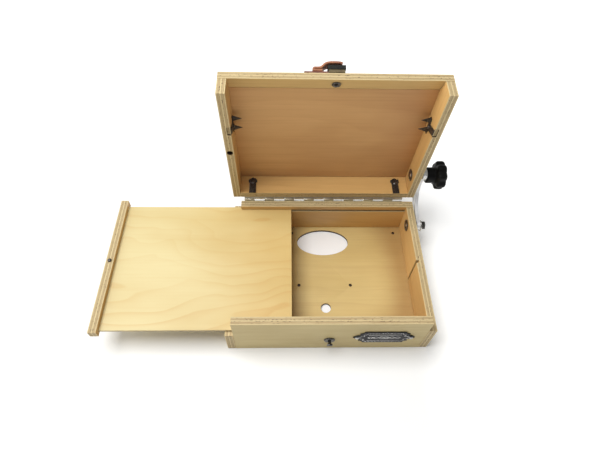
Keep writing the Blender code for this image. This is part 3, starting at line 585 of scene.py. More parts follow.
# a ball on every step of a closed line: the beading round the label
def beadGrowth():
    g = Growth("beadsOnALine", {"Spacing": "Float", "Bead": "Float", "Material": "Material"})
    curve = g.node("GeometryNodeMeshToCurve", None, {"Mesh": g.read("Start")})
    values = {"Curve": curve, "Length": g.read("Spacing")}
    even = g.node("GeometryNodeResampleCurve", {"mode": "LENGTH"}, values)
    values = {"Segments": 12, "Rings": 8, "Radius": g.read("Bead")}
    ball = g.node("GeometryNodeMeshUVSphere", None, values, "Mesh")
    smooth = g.node("GeometryNodeSetShadeSmooth", None, {"Geometry": ball, "Shade Smooth": True})
    g.close(g.node("GeometryNodeInstanceOnPoints", None, {"Points": even, "Instance": smooth}))
    return g


# a round ridge along a line
def ridgeGrowth():
    g = Growth("ridgeAlongALine", {"Radius": "Float", "Material": "Material"})
    curve = g.node("GeometryNodeMeshToCurve", None, {"Mesh": g.read("Start")})
    values = {"Resolution": 10, "Radius": g.read("Radius")}
    ring = g.node("GeometryNodeCurvePrimitiveCircle", {"mode": "RADIUS"}, values)
    values = {"Curve": curve, "Profile Curve": ring, "Fill Caps": True}
    g.close(g.node("GeometryNodeCurveToMesh", None, values))
    return g


# the knob's lobes: each point moves towards the axis by a rule of its angle, and less so nearer the hub
def lobeGrowth():
    inputs = {"Lobes": "Int", "Dip": "Float", "Hub": "Float", "Rim": "Float", "Material": "Material"}
    g = Growth("knobLobes", inputs)
    spot = g.node("GeometryNodeInputPosition")
    x, y, z = g.parts(spot)
    radius = (x * x + y * y) ** 0.5
    angle = g.maths("ARCTAN2", y, x)
    dip = ((0.5 - g.maths("COSINE", angle * g.read("Lobes")) * 0.5) ** 1.3) * g.read("Dip")
    share = g.between(radius, g.read("Hub"), g.read("Rim"))
    factor = 1.0 - dip * share / radius.atLeast(0.0001)
    moved = g.join(x * factor, y * factor, z)
    g.close(g.node("GeometryNodeSetPosition", None, {"Geometry": g.read("Start"), "Position": moved}))
    return g


rows = rowGrowth()
beads = beadGrowth()
ridges = ridgeGrowth()
lobes = lobeGrowth()


def inARow(name, start, count, first, step, material, turn=(0.0, 0.0, 0.0), spin=0.0, seed=0):
    return rows.grow(name, start, {
        "Count": count, "First": tuple(first), "Step": tuple(step), "Turn": tuple(turn), "Spin": spin,
        "Seed": seed, "Material": material,
    })


def meshFrom(name, points, faces, edges=()):
    mesh = bpy.data.meshes.new(name)
    mesh.from_pydata([tuple(point) for point in points], list(edges), list(faces))
    mesh.validate()
    return mesh


def closedUp(mesh, sharp=35.0):
    work = bmesh.new()
    work.from_mesh(mesh)
    bmesh.ops.remove_doubles(work, verts=work.verts, dist=mergeDistance)
    bmesh.ops.recalc_face_normals(work, faces=work.faces)
    work.to_mesh(mesh)
    work.free()
    mesh.shade_smooth()
    mesh.set_sharp_from_angle(angle=math.radians(sharp))
    return mesh


# a profile of (radius, height) points turned about Z, closed at the axis
def turned(name, profile, steps=48):
    points = []
    faces = []
    rows = len(profile)
    for i in range(steps):
        angle = math.tau * i / steps
        points += [(r * math.cos(angle), r * math.sin(angle), h) for r, h in profile]
        following = (i + 1) % steps
        for j in range(rows - 1):
            faces.append((i * rows + j, i * rows + j + 1, following * rows + j + 1, following * rows + j))
    return closedUp(meshFrom(name, points, faces))


# every corner of a path cut twice over, so that it turns smoothly and stays inside itself
def eased(path):
    path = [Vector(point) for point in path]
    for _ in range(2):
        made = [path[0]]
        for first, second in zip(path, path[1:]):
            made += [first.lerp(second, 0.25), first.lerp(second, 0.75)]
        path = [*made, path[-1]]
    return path


# every corner of a profile replaced by a short curve
def roundedCorners(profile, radius):
    profile = [Vector(point) for point in profile]
    made = [profile[0]]
    for before, corner, after in zip(profile, profile[1:], profile[2:]):
        reach = min(radius, (before - corner).length * 0.45, (after - corner).length * 0.45)
        start = corner + (before - corner).normalized() * reach
        end = corner + (after - corner).normalized() * reach
        for k in range(4):
            share = k / 3
            made.append(start.lerp(corner, share).lerp(corner.lerp(end, share), share))
    return [*made, profile[-1]]


def roundedBox(name, low, high, radius, segments=3):
    work = bmesh.new()
    bmesh.ops.create_cube(work, size=1.0)
    low, high = Vector(low), Vector(high)
    for vertex in work.verts:
        for k in range(3):
            vertex.co[k] = (low[k] + high[k]) / 2 + vertex.co[k] * (high[k] - low[k])
    bmesh.ops.bevel(work, geom=work.edges[:], offset=radius, segments=segments, affect="EDGES", profile=0.5)
    return closedUp(meshOf(work, name), 50.0)


def joined(name, meshes):
    work = bmesh.new()
    materials = []
    for mesh in meshes:
        offset = len(work.faces)
        work.from_mesh(mesh)
        work.faces.ensure_lookup_table()
        for face in work.faces[offset:]:
            material = mesh.materials[face.material_index] if mesh.materials else None
            if material not in materials:
                materials.append(material)
            face.material_index = materials.index(material)
    made = meshOf(work, name)
    for material in materials:
        made.materials.append(material)
    return made


# metal and plastic: two tones in smudges, fine scratches and small pits
def bodyFinish(name, look):
    f = Finish(name)
    place = f.place()
    brushed = f.grain(f.parts(place), look["run"], 3.0, 0.6)
    smudges = f.noise(place, look["smudge"], 3.0, 0.55)
    pit = 1.0 - f.between(f.cells(place, look["pitScale"]), 0.06, 0.3)
    tone = f.mix(f.between(smudges, 0.36, 0.68), look["tone"], look["worn"])
    tone = f.mix(f.between(brushed, 0.42, 0.74) * look["scratch"], tone, look["scratchTone"])
    tone = f.mix(pit * look["pits"], tone, look["pitTone"])
    rough = look["roughness"] + (smudges - 0.5) * look["uneven"] + (brushed - 0.5) * 0.15
    normal = f.bump(brushed * look["scratch"] - pit * look["pits"], look["relief"], 0.7)
    metallic, specular = look["metallic"], look["specular"]
    return f.give(colour=tone, roughness=rough, metallic=metallic, normal=normal, specular=specular)


plainMetal = {
    "run": (900.0, 900.0, 900.0), "smudge": 90.0, "pitScale": 700.0, "scratch": 0.3, "pits": 0.15,
    "uneven": 0.25, "relief": 0.00003, "metallic": 1.0, "specular": 0.5, "scratchTone": (0.85, 0.85, 0.83),
    "pitTone": (0.2, 0.19, 0.17),
}
bodyLooks = {
    "satinNickel": {**plainMetal, "tone": (0.66, 0.65, 0.60), "worn": (0.52, 0.50, 0.45), "roughness": 0.32,
                    "run": (60.0, 2200.0, 2200.0)},
    "brightNickel": {**plainMetal, "tone": (0.74, 0.73, 0.69), "worn": (0.58, 0.56, 0.52), "roughness": 0.24},
    "brushedAluminium": {**plainMetal, "tone": (0.93, 0.94, 0.95), "worn": (0.84, 0.85, 0.86),
                         "roughness": 0.4, "metallic": 0.45, "scratchTone": (0.97, 0.97, 0.97),
                         "run": (1500.0, 1500.0, 60.0), "pits": 0.05},
    "springSteel": {**plainMetal, "tone": (0.022, 0.017, 0.013), "worn": (0.05, 0.04, 0.03), "roughness": 0.4,
                    "metallic": 0.35, "specular": 0.3, "scratchTone": (0.35, 0.33, 0.30), "scratch": 0.2},
    "darkSteel": {**plainMetal, "tone": (0.055, 0.05, 0.045), "worn": (0.13, 0.12, 0.11), "roughness": 0.3,
                  "metallic": 0.8, "scratchTone": (0.5, 0.49, 0.46)},
    "blackPaint": {**plainMetal, "tone": (0.008, 0.008, 0.007), "worn": (0.02, 0.022, 0.016),
                   "roughness": 0.5, "metallic": 0.0, "specular": 0.14, "scratchTone": (0.10, 0.11, 0.09),
                   "scratch": 0.15},
    "olivePewter": {**plainMetal, "tone": (0.085, 0.062, 0.028), "worn": (0.14, 0.105, 0.05),
                    "roughness": 0.55, "metallic": 0.1, "specular": 0.25, "scratchTone": (0.3, 0.25, 0.15)},
    "darkPewter": {**plainMetal, "tone": (0.02, 0.02, 0.023), "worn": (0.05, 0.05, 0.055), "roughness": 0.5,
                   "metallic": 0.1, "specular": 0.12, "scratchTone": (0.10, 0.10, 0.10),
                   "pits": 0.5, "pitTone": (0.01, 0.01, 0.012)},
    "rubbedPewter": {**plainMetal, "tone": (0.72, 0.71, 0.68), "worn": (0.30, 0.30, 0.30), "roughness": 0.3},
    "knobPlastic": {**plainMetal, "tone": (0.004, 0.004, 0.004), "worn": (0.007, 0.007, 0.0065),
                    "roughness": 0.5, "metallic": 0.0, "specular": 0.16,
                    "scratch": 0.06, "scratchTone": (0.05, 0.05, 0.05),
                    "pits": 0.3, "pitTone": (0.002, 0.002, 0.002), "pitScale": 1600.0, "relief": 0.00005},
}
finishes.update({name: bodyFinish(name, look) for name, look in bodyLooks.items()})


def leatherFinish(name, look):
    f = Finish(name)
    place = f.place()
    crease = f.between(f.cells(place, 1500.0, "DISTANCE_TO_EDGE"), 0.0, 0.12)
    wear = f.noise(place, 160.0, 4.0, 0.6)
    blotch = f.noise(place, 60.0, 2.0, 0.5)
    tone = f.mix(f.between(blotch, 0.35, 0.65), look["tone"], look["deep"])
    tone = f.mix(f.between(wear, 0.5, 0.72) * 0.6, tone, look["worn"])
    tone = f.mix((1.0 - crease) * 0.5, tone, look["creaseTone"])
    rough = 0.52 + (wear - 0.5) * 0.3
    normal = f.bump(crease + wear * 0.4, 0.00006, 0.7)
    return f.give(colour=tone, roughness=rough, normal=normal, specular=0.4)


leatherLooks = {
    "russetLeather": {"tone": (0.40, 0.155, 0.07), "deep": (0.27, 0.095, 0.045), "worn": (0.60, 0.29, 0.15),
                      "creaseTone": (0.16, 0.045, 0.02)},
    "oxbloodLeather": {"tone": (0.22, 0.065, 0.035), "deep": (0.15, 0.04, 0.025), "worn": (0.34, 0.13, 0.07),
                       "creaseTone": (0.07, 0.015, 0.01)},
    "waxedThread": {"tone": (0.55, 0.42, 0.24), "deep": (0.42, 0.30, 0.16), "worn": (0.65, 0.52, 0.33),
                    "creaseTone": (0.25, 0.17, 0.08)},
}
finishes.update({name: leatherFinish(name, look) for name, look in leatherLooks.items()})
print("finishes ready:", len(finishes))

# one domed screw with a cross recess serves every place
screwLook = {
    "head": 2.6 * mm, "rise": 1.2 * mm, "shank": 1.1 * mm, "length": 7.0 * mm, "recess": 1.5 * mm,
    "recessWidth": 0.55 * mm, "recessDepth": 0.75 * mm, "recessRound": 0.12 * mm, "spin": 0.9,
    "pinShare": 0.8,
}


def screwMesh(name, head, rise, shank, length):
    profile = [(0.0, rise), (head * 0.35, rise * 0.96), (head * 0.7, rise * 0.78), (head * 0.93, rise * 0.42),
               (head, rise * 0.08), (head * 0.97, 0.0), (shank, 0.0), (shank, -length * 0.8), (0.0, -length)]
    return turned(name, profile, 40)


def crossed(mesh):
    look = screwLook
    long = look["recess"]
    wide = look["recessWidth"] / 2
    low = (-long, -wide, look["rise"] - look["recessDepth"])
    high = (long, wide, look["rise"] * 2)
    cutters = []
    for spin in (0.0, math.pi / 2):
        bar = roundedBox("recessBar", low, high, look["recessRound"], 1)
        bar.transform(Matrix.Rotation(spin, 4, "Z"))
        cutters.append(linked("recessCutter", bar))
    cut = {"operation": "DIFFERENCE", "solver": "EXACT"}
    made = withModifiers(mesh, "crossScrew", [("BOOLEAN", {**cut, "object": cutter}) for cutter in cutters])
    for cutter in cutters:
        bpy.data.objects.remove(cutter)
    return closedUp(made, 30.0)


def screwsAt(name, nodes, outward, screw, finish, spin, seed):
    outward = Vector(outward)
    ends = [endOf(node, outward) - outward * screwLook["rise"] for node in nodes]
    step = (ends[-1] - ends[0]) / max(1, len(ends) - 1)
    turn = outward.to_track_quat("Z", "Y").to_euler()
    mesh = inARow(name, screw.copy(), len(ends), ends[0], step, finishes[finish], turn, spin, seed)
    mesh.transform(turnOf(nodes[0]))
    addPiece(mesh, nodes, name)


def buildScrews():
    look = screwLook
    screw = crossed(screwMesh("crossScrew", look["head"], look["rise"], look["shank"], look["length"]))
    hingeRows = (("hingeBaseScrews", "hinge_base_screw_", 3), ("hingeLidScrews", "hinge_lid_screw_", 5))
    for name, start, seed in hingeRows:
        nodes = [f"{start}{i}" for i in range(1, 5)]
        screwsAt(name, nodes, (0, 1, 0), screw, "brightNickel", look["spin"], seed)
    forward = (0, -1, 0)
    clips = {"clip_left": (1, 0, 0), "clip_right": (-1, 0, 0),
             "clip_rear_left": forward, "clip_rear_right": forward}
    for seed, (clip, outward) in enumerate(clips.items()):
        node = clip + "_screw"
        screwsAt(pieceName(node), [node], outward, screw, "darkSteel", look["spin"], seed)
    share = look["pinShare"]
    pin = screwMesh("labelPin", look["head"] * share, look["rise"], look["shank"], look["length"] * share)
    pins = ["label_pin_left", "label_pin_right"]
    screwsAt("labelPins", pins, (0, -1, 0), pin, "rubbedPewter", 0.0, 1)
    print("screws placed")


# each hinge leaf is a plate with every other knuckle
hingeLook = {
    "length": 214.0 * mm, "knuckles": 16, "knuckle": 3.2 * mm, "endGap": 0.14 * mm, "edge": 0.35 * mm,
    "thick": 1.2 * mm, "high": 11.5 * mm, "play": 0.4 * mm, "roundness": 0.3 * mm,
}


def buildHinge():
    look = hingeLook
    pitch = look["length"] / look["knuckles"]
    half = pitch / 2 - look["endGap"]
    radius = look["knuckle"]
    tube = roundedCorners([(0.0, half), (radius, half), (radius, -half), (0.0, -half)], look["edge"])
    barrel = turned("knuckle", tube, 40)
    barrel.transform(Matrix.Rotation(math.pi / 2, 4, "Y"))
    for node, first, up in (("hinge_leaf_base", 0, -1), ("hinge_leaf_lid", 1, 1)):
        low, high, middle = boxOf(node)
        face = low.y
        back = low.y + look["thick"]
        reach = up * (radius + look["play"])
        edges = sorted((hingeAxis.z + reach, hingeAxis.z + reach + up * look["high"]))
        plateLow = (low.x, face, edges[0])
        plate = roundedBox(node + "Plate", plateLow, (high.x, back, edges[1]), look["roundness"])
        start = Vector((-look["length"] / 2 + pitch * (first + 0.5), hingeAxis.y, hingeAxis.z))
        tabEnds = sorted((0.0, reach + up * look["roundness"] * 2))
        tabLow = (-half, face - hingeAxis.y, tabEnds[0])
        tabHigh = (half, back - hingeAxis.y, tabEnds[1])
        tab = roundedBox("hingeTab", tabLow, tabHigh, look["roundness"] * 0.7)
        knuckle = joined("knuckleAndTab", [barrel, tab])
        step = (2 * pitch, 0.0, 0.0)
        knuckles = inARow("knuckles", knuckle, look["knuckles"] // 2, start, step, finishes["satinNickel"])
        whole = joined(pieceName(node), [painted(plate, "satinNickel"), knuckles])
        whole.transform(turnOf(node))
        addPiece(whole, [node])
    low, high, middle = boxOf("hinge_pin")
    long = (high.x - low.x) / 2
    thin = (high.z - low.z) / 2
    dome = [(0.0, long), (thin * 0.6, long - 0.1 * mm), (thin, long - 0.3 * mm), (thin, -long + 0.3 * mm),
            (thin * 0.6, -long + 0.1 * mm), (0.0, -long)]
    pin = turned("hingePin", dome, 32)
    pin.transform(turnTo(middle, (1, 0, 0)))
    addPiece(painted(pin, "brightNickel"), ["hinge_pin"])
    print("hinge built:", look["knuckles"], "knuckles")


# turned fittings of the stay and the turn lock
turnedLook = {"thread": 1.0 * mm, "threadDepth": 0.35 * mm, "round": 0.25 * mm}


def threadedRod(name, radius, length):
    pitch = turnedLook["thread"]
    root = radius - turnedLook["threadDepth"]
    count = max(2, int((length - pitch) / pitch))
    profile = [(0.0, 0.0), (radius * 0.75, 0.0), (root, pitch * 0.3)]
    for i in range(count):
        low = pitch * (0.5 + i)
        if low + pitch > length:
            break
        profile += [(radius, low + pitch * 0.3), (radius, low + pitch * 0.45), (root, low + pitch * 0.9)]
    profile += [(radius * 0.75, length), (0.0, length)]
    return turned(name, profile, 32)


# a turned piece that starts at its node's inner end
def addTurned(node, profile, outward, finish, steps):
    smooth = roundedCorners(profile, turnedLook["round"])
    mesh = turned(pieceName(node), smooth, steps)
    mesh.transform(turnOf(node) @ turnTo(endOf(node, -Vector(outward)), outward))
    addPiece(painted(mesh, finish), [node])


teeNutLook = {"flange": 7.8 * mm, "thick": 1.1 * mm, "barrel": 4.2 * mm, "deep": 7.3 * mm, "bore": 3.2 * mm}


def buildStay():
    flange, thick, barrel, deep, bore = teeNutLook.values()
    top = deep + thick
    profile = [(bore, 0.0), (barrel, 0.0), (barrel, deep), (flange, deep), (flange, top - 0.3 * mm),
               (barrel + 0.9 * mm, top), (bore + 0.9 * mm, top - 0.15 * mm), (bore, top - 0.6 * mm),
               (bore, 0.0)]
    for node in ("stay_tee_nut_base", "stay_tee_nut_lid"):
        addTurned(node, profile, (-1, 0, 0), "darkSteel", 56)
    for node in ("stay_spacer_base", "stay_washer_base", "stay_spacer_lid", "stay_washer_lid"):
        low, high, middle = boxOf(node)
        thick = high.x - low.x
        outer = (high.z - low.z) / 2
        start = (bore, thick / 2)
        profile = [start, (bore, 0.0), (outer, 0.0), (outer, thick), (bore, thick), start]
        addTurned(node, profile, (1, 0, 0), "brightNickel", 56)
    for node in ("stay_pivot_bolt", "knob_bolt"):
        low, high, middle = boxOf(node)
        rod = threadedRod(pieceName(node), (high.z - low.z) / 2, high.x - low.x)
        rod.transform(turnOf(node) @ turnTo(endOf(node, (-1, 0, 0)), (1, 0, 0)))
        addPiece(painted(rod, "brightNickel"), [node])
    addEased("stay_pivot_nut", "darkSteel", 0.35)
    addEased("stay_arm", "brushedAluminium", 0.6)
    print("stay built")


# the lobes' dips begin at the hub's radius and reach their full depth at the rim's
knobLook = {"lobes": 8, "dip": 2.4 * mm, "hub": 10.6 * mm, "rim": 17.0 * mm, "cornerRound": 1.2 * mm}


def buildKnob():
    look = knobLook
    profile = [(0.0, 22.4), (7.2, 22.4), (8.4, 23.2), (9.2, 24.0), (13.5, 24.0), (16.4, 23.6), (18.0, 22.2),
               (18.5, 20.4), (18.5, 15.2), (18.0, 13.3), (16.4, 11.9), (13.0, 11.5), (10.6, 11.2),
               (10.3, 10.0), (10.3, 1.0), (9.8, 0.0), (0.0, 0.0)]
    smooth = roundedCorners([(r * mm, h * mm) for r, h in profile], look["cornerRound"])
    start = turned("knobBlank", smooth, 256)
    values = {"Lobes": look["lobes"], "Dip": look["dip"], "Hub": look["hub"], "Rim": look["rim"],
              "Material": finishes["knobPlastic"]}
    knob = lobes.grow("knobTurned", start, values)
    knob.transform(toOpen @ turnTo(endOf("knob", (-1, 0, 0)), (1, 0, 0)))
    addPiece(closedUp(knob, 40.0), ["knob"], "knobTurned")
    print("knob built:", look["lobes"], "lobes")


# small bent and flat parts that only need their edges eased: finish, slot, and round in mm
springClip = ("springSteel", "black_spring_steel", 0.18)
easedLooks = {
    "clip_left": springClip, "clip_right": springClip,
    "clip_rear_left": springClip, "clip_rear_right": springClip,
    "turnlock_post": ("darkSteel", "black_steel", 0.3), "turnlock_plate": ("olivePewter", "pewter", 0.35),
    "strap_keeper": ("blackPaint", "black_steel", 0.6),
}


def addEased(node, finish, roundness):
    addPiece(painted(softened(node, roundness * mm), finish), [node])


def buildEased():
    for node, (finish, slot, roundness) in easedLooks.items():
        addEased(node, finish, roundness)
    print("eased parts:", len(easedLooks))


# the label is a dark plate with beading and a plain scroll, and no lettering
labelLook = {
    "half": 36.0 * mm, "high": 15.0 * mm, "inset": 0.84, "beadSpacing": 1.7 * mm, "bead": 0.55 * mm,
    "ridge": 0.42 * mm, "scrollReach": 19.0 * mm, "scrollHigh": 3.6 * mm, "scrollTurns": 3,
    "scrollTaper": 0.45, "bar": 8.2 * mm,
    "diamond": (5.0 * mm, 3.4 * mm), "roundness": 0.3 * mm, "sink": 0.1 * mm,
}


def labelOutline(share):
    half = labelLook["half"]
    high = labelLook["high"]
    body = half * 0.76
    hollow = high * 0.34
    quarter = [(half, 0.0), (half - hollow * 0.8, hollow * 0.8), (body, hollow)]
    for i in range(5):
        angle = math.radians(-90 - 90 * i / 4)
        quarter.append((body + hollow * 0.3 + hollow * math.cos(angle), high + hollow * math.sin(angle)))
    upper = quarter + [(-x, y) for x, y in reversed(quarter)]
    lower = [(x, -y) for x, y in reversed(upper[1:-1])]
    return [(x * share, y * share) for x, y in upper + lower]


def wire(name, lines):
    points = []
    edges = []
    for line, closed in lines:
        start = len(points)
        points += [(x, y, 0.0) for x, y in line]
        edges += [(i, i + 1) for i in range(start, len(points) - 1)]
        if closed:
            edges.append((len(points) - 1, start))
    return meshFrom(name, points, (), edges)


def buildLabel():
    look = labelLook
    low, high, middle = boxOf("label_plate")
    across = Matrix(((1, 0, 0), (0, 0, -1), (0, 1, 0))).to_4x4()
    place = Matrix.Translation((middle.x, low.y + look["sink"], middle.z)) @ across
    rubbed = finishes["rubbedPewter"]
    border = wire("labelBorder", [(labelOutline(look["inset"]), True)])
    values = {"Spacing": look["beadSpacing"], "Bead": look["bead"], "Material": rubbed}
    beading = beads.grow("labelBeads", border, values)
    reach = look["scrollReach"]
    scrolls = []
    for side in (-1, 1):
        scroll = []
        for i in range(73):
            t = i / 36 - 1  # from -1 to 1 along the scroll
            swell = 1 - look["scrollTaper"] * abs(t)
            height = side * look["scrollHigh"] * swell * math.sin(math.pi * look["scrollTurns"] * t)
            scroll.append((t * reach, height))
        scrolls.append((scroll, False))
        scrolls.append(([(-reach, side * look["bar"]), (reach, side * look["bar"])], False))
    wide, tall = look["diamond"]
    scrolls.append(([(wide, 0.0), (0.0, tall), (-wide, 0.0), (0.0, -tall)], True))
    drawing = wire("labelScroll", scrolls)
    scroll = ridges.grow("labelScroll", drawing, {"Radius": look["ridge"], "Material": rubbed})
    plate = painted(softened("label_plate", look["roundness"]), "darkPewter")
    for relief in (beading, scroll):
        relief.transform(place)
        relief.shade_smooth()
    addPiece(joined("labelPlate", [plate, beading, scroll]), ["label_plate"])
    print("label built")


# the strap on the lid's sloped front board
strapLook = {
    "thick": 2.4 * mm, "gap": 0.3 * mm, "deep": 12.0 * mm, "left": 23.4 * mm, "foot": 15.2 * mm,
    "lowerEnd": 14.3 * mm, "crownLeft": 10.4 * mm, "crownRight": 4.5 * mm, "tip": 6.6 * mm,
    "crown": 12.3 * mm, "round": 0.6 * mm,
    "tabThick": 1.6 * mm, "tabLeft": 33.0 * mm, "tabDeep": 15.0 * mm, "tabRound": 0.45 * mm,
    "stitch": 1.5 * mm, "thread": 0.22 * mm, "stitchPitch": 2.3 * mm, "stitchInset": 1.7 * mm,
    "screwHead": 2.6 * mm, "screwRise": 0.8 * mm, "screwShank": 1.7 * mm, "screwLength": 5.0 * mm,
    "screwPlace": (-28.0 * mm, 7.5 * mm),
}
insertLook = {
    "through": 9.5 * mm * math.cos(slopeFall), "sleeve": 4.8 * 0.72 * mm, "bore": 2.0 * mm,
    "flange": 4.8 * mm, "place": (0.4 * mm, 6.2 * mm, 0.0),
}
slopeEdge = toShut @ Vector(joints["strap_swing"]["pos_m"])
slopeAxes = Matrix((xAxis, slopeThrough.cross(xAxis), slopeThrough)).transposed().to_4x4()
onSlope = toOpen @ Matrix.Translation(slopeEdge) @ slopeAxes


# a strip with rounded edges swept along a path in the XZ plane, its width running along Y
def swept(name, path, thick, deep, roundness):
    half = thick / 2
    section = []
    for offset, y, turn in ((half, deep, 0), (-half, deep, 90), (-half, 0.0, 180), (half, 0.0, 270)):
        inner = offset - math.copysign(roundness, offset)
        inY = y - roundness if y > 0 else roundness
        for k in range(4):
            angle = math.radians(turn + 30 * k)
            section.append((inner + roundness * math.cos(angle), inY + roundness * math.sin(angle)))
    points = []
    for i, spot in enumerate(path):
        along = (path[min(i + 1, len(path) - 1)] - path[max(i - 1, 0)]).normalized()
        across = Vector((-along.y, along.x))
        for offset, y in section:
            shifted = spot + across * offset
            points.append((shifted.x, y, shifted.y))
    count = len(section)
    faces = []
    for i in range(len(path) - 1):
        for j in range(count):
            k = (j + 1) % count
            faces.append((i * count + j, i * count + k, (i + 1) * count + k, (i + 1) * count + j))
    faces.append(tuple(range(count)))
    faces.append(tuple((len(path) - 1) * count + j for j in range(count)))
    return closedUp(meshFrom(name, points, faces), 40.0)


def stitchRow(start, end, height):
    look = strapLook
    long = look["stitch"] / 2
    thin = look["thread"]
    profile = [(0.0, long), (thin * 0.7, long - thin * 0.3), (thin, long - thin), (thin, -long + thin),
               (thin * 0.7, -long + thin * 0.3), (0.0, -long)]
    stitch = turned("stitch", profile, 12)
    stitch.transform(Matrix.Rotation(math.pi / 2, 4, "Y"))
    span = Vector(end) - Vector(start)
    count = max(2, int(span.length / look["stitchPitch"]) + 1)
    step = (span.x / (count - 1), span.y / (count - 1), 0.0)
    return inARow("stitches", stitch, count, (*start, height), step, finishes["waxedThread"], seed=2)


def buildFold():
    look = strapLook
    lower = 2 * look["gap"] + look["tabThick"] + look["thick"] / 2
    bend = (look["thick"] + look["gap"]) / 2
    turnBack = []
    for i in range(9):
        angle = math.radians(270 - 180 * i / 8)
        turnBack.append((-look["left"] + bend + bend * math.cos(angle),
                         lower + bend + bend * math.sin(angle)))
    path = eased([(-look["lowerEnd"], lower), *turnBack, (-look["foot"], lower + 2 * bend),
                  (-look["crownLeft"], look["crown"]), (look["crownRight"], look["crown"]),
                  (look["tip"], look["crown"] - look["thick"] / 2)])
    fold = painted(swept("foldStrip", path, look["thick"], look["deep"], look["round"]), "russetLeather")
    top = look["crown"] + look["thick"] / 2
    lines = []
    for y in (look["stitchInset"], look["deep"] - look["stitchInset"]):
        lines.append(stitchRow((-look["crownLeft"] + 2.0 * mm, y), (look["crownRight"] - 1.5 * mm, y), top))
    whole = joined("strapFold", [fold, *lines])
    whole.transform(onSlope)
    addPiece(whole, ["strap_fold"])


def buildTab():
    look = strapLook
    tab = painted(softened("strap_tab", look["tabRound"]), "oxbloodLeather")
    tabTop = look["gap"] + look["tabThick"]
    lines = []
    for y in (look["stitchInset"], look["tabDeep"] - look["stitchInset"]):
        lines.append(stitchRow((-look["tabLeft"] + 2.0 * mm, y), (-look["tabLeft"] + 8.0 * mm, y), tabTop))
        lines[-1].transform(onSlope)
    addPiece(joined("strapTab", [tab, *lines]), ["strap_tab"])
    sizes = [look[size] for size in ("screwHead", "screwRise", "screwShank", "screwLength")]
    screw = screwMesh("strapScrew", *sizes)
    screw.transform(onSlope @ Matrix.Translation((*look["screwPlace"], tabTop + look["gap"])))
    addPiece(painted(screw, "darkSteel"), ["strap_screw"])


def buildInsert():
    through, sleeve, bore, flange, place = insertLook.values()
    gap = strapLook["gap"]
    low = -through - gap
    ring = [(bore, low), (bore, -gap - 0.2 * mm), (bore + 0.3 * mm, -gap), (sleeve, -gap), (sleeve, low),
            (flange, low), (flange, low - 0.8 * mm), (flange - 0.6 * mm, low - 1.4 * mm),
            (bore + 1.3 * mm, low - 1.4 * mm), (bore + 0.3 * mm, low - 0.6 * mm), (bore, low)]
    insert = turned("strapInsert", ring, 48)
    insert.transform(onSlope @ Matrix.Translation(place))
    addPiece(painted(insert, "darkSteel"), ["strap_insert"])
    print("strap built")


pinLook = {"head": 2.4 * mm, "shank": 1.3 * mm, "rise": 2.3 * mm, "tip": 0.6 * mm}


def buildSmallTurned():
    disc = [(2.0, 0.7), (2.0, 0.0), (6.5, 0.0), (6.5, 0.8), (5.3, 1.5), (2.4, 1.5), (2.0, 1.2), (2.0, 0.7)]
    profile = [(r * mm, h * mm) for r, h in disc]
    # the nickel disc takes dark steel's colour, a painted dark reflection
    addTurned("turnlock_base", profile, (0, -1, 0), "darkSteel", 48)
    low, high, middle = boxOf("palette_lock_pin")
    long = high.z - low.z
    head, shank, rise, tip = pinLook.values()
    dome = [(0.0, long), (head * 0.4, long - 0.08 * mm), (head * 0.75, long - 0.45 * mm),
            (head * 0.97, long - 1.2 * mm), (head, long - rise), (shank, long - rise), (shank, tip),
            (0.0, 0.0)]
    pin = turned("paletteLockPin", dome, 36)
    pin.transform(Matrix.Translation((middle.x, middle.y, low.z)))
    addPiece(painted(pin, "darkSteel"), ["palette_lock_pin"])
    print("turn lock disc and palette pin turned")


# a pale floor, a broad light overhead, a weaker one at the left and a faint sky; the floor's far part and its
# right side glow as painted light, which whitens the backdrop and fills the box's shadow at its right
room = {
    "floorSize": 6.0, "floorTone": (0.93, 0.93, 0.92),
    "glow": (0.6, 0.6, 0.6), "glowFrom": 0.24, "glowTo": 0.6, "glowShift": 0.1,  # the floor's far part glows
    "rightFrom": 0.2, "rightTo": 0.27, "rightGlow": 0.55,
    "skyTone": (1.0, 1.0, 1.0), "skyStrength": 0.18, "lightAim": (0.0, 0.0, 0.05),
    "lightPlace": (-0.45, 0.02, 1.45), "lightSize": 0.95, "lightPower": 23.2,
    "fillPlace": (-1.5, 0.0, 0.75), "fillSize": 1.5, "fillPower": 10.0,
}
cameraLook = {
    "place": (-0.05125, -0.27997, 0.5361), "yaw": -3.154, "pitch": 55.423, "roll": 2.729,
    "lens": 27.0, "sensor": 36.0,
}


def areaLight(name, place, aim, size, power):
    light = bpy.data.lights.new(name, "AREA")
    light.shape = "SQUARE"
    light.size = size
    light.energy = power
    direction = Vector(aim) - Vector(place)
    turn = direction.to_track_quat("-Z", "Y").to_matrix().to_4x4()
    linked(name, light).matrix_world = Matrix.Translation(place) @ turn


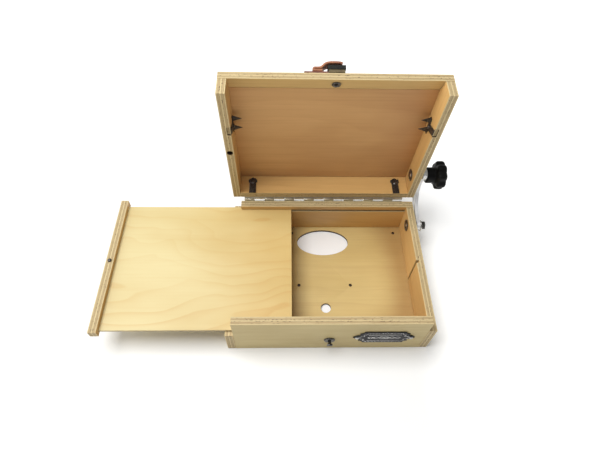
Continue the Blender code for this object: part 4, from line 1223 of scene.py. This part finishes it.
def buildFloor():
    half = room["floorSize"] / 2
    corners = [(-half, -half, 0), (half, -half, 0), (half, half, 0), (-half, half, 0)]
    floor = meshFrom("floor", corners, [(0, 1, 2, 3)])
    lay = linked("floor", floor)
    lay.location.z = -0.1 * mm
    paper = Finish("floorPaper")
    speck = paper.noise(paper.place(), 60.0, 2.0)
    tone = paper.mix(speck, room["floorTone"], tuple(c * 0.99 for c in room["floorTone"]))
    x, y, z = paper.parts(paper.place())
    x = x + room["glowShift"]
    # painted light: the floor glows away from the box and at its right side, where it fills the box's shadow
    far = paper.between((x * x + y * y) ** 0.5, room["glowFrom"], room["glowTo"])
    far = far.atLeast(paper.between(x, room["rightFrom"], room["rightTo"]) * room["rightGlow"])
    glow = paper.mix(far, (0.0, 0.0, 0.0), room["glow"])
    paper.give(colour=tone, roughness=0.9, specular=0.0, emission=glow, emissionStrength=1.0)
    floor.materials.append(paper.material)


def buildLight():
    world = bpy.data.worlds.new("sky")
    bpy.context.scene.world = world
    world.use_nodes = True
    sky = world.node_tree.nodes["Background"]
    sky.inputs["Color"].default_value = (*room["skyTone"], 1.0)
    sky.inputs["Strength"].default_value = room["skyStrength"]
    areaLight("overhead", room["lightPlace"], room["lightAim"], room["lightSize"], room["lightPower"])
    areaLight("fill", room["fillPlace"], room["lightAim"], room["fillSize"], room["fillPower"])
    bpy.context.scene.view_settings.view_transform = "Standard"


def buildCamera():
    camera = bpy.data.cameras.new("camera")
    camera.lens = cameraLook["lens"]
    camera.sensor_width = cameraLook["sensor"]
    camera.clip_start = 0.01
    eye = linked("camera", camera)
    look = cameraLook
    turn = Matrix.Identity(4)
    for axis, degrees in (("Z", look["yaw"]), ("X", 90 - look["pitch"]), ("Z", look["roll"])):
        turn = turn @ Matrix.Rotation(math.radians(degrees), 4, axis)
    eye.matrix_world = Matrix.Translation(look["place"]) @ turn
    bpy.context.scene.camera = eye
    print("room and camera ready")


buildFloor()
buildLight()
buildCamera()
buildBoards()
buildHinge()
buildScrews()
buildStay()
buildKnob()
buildEased()
buildSmallTurned()
buildLabel()
buildFold()
buildTab()
buildInsert()
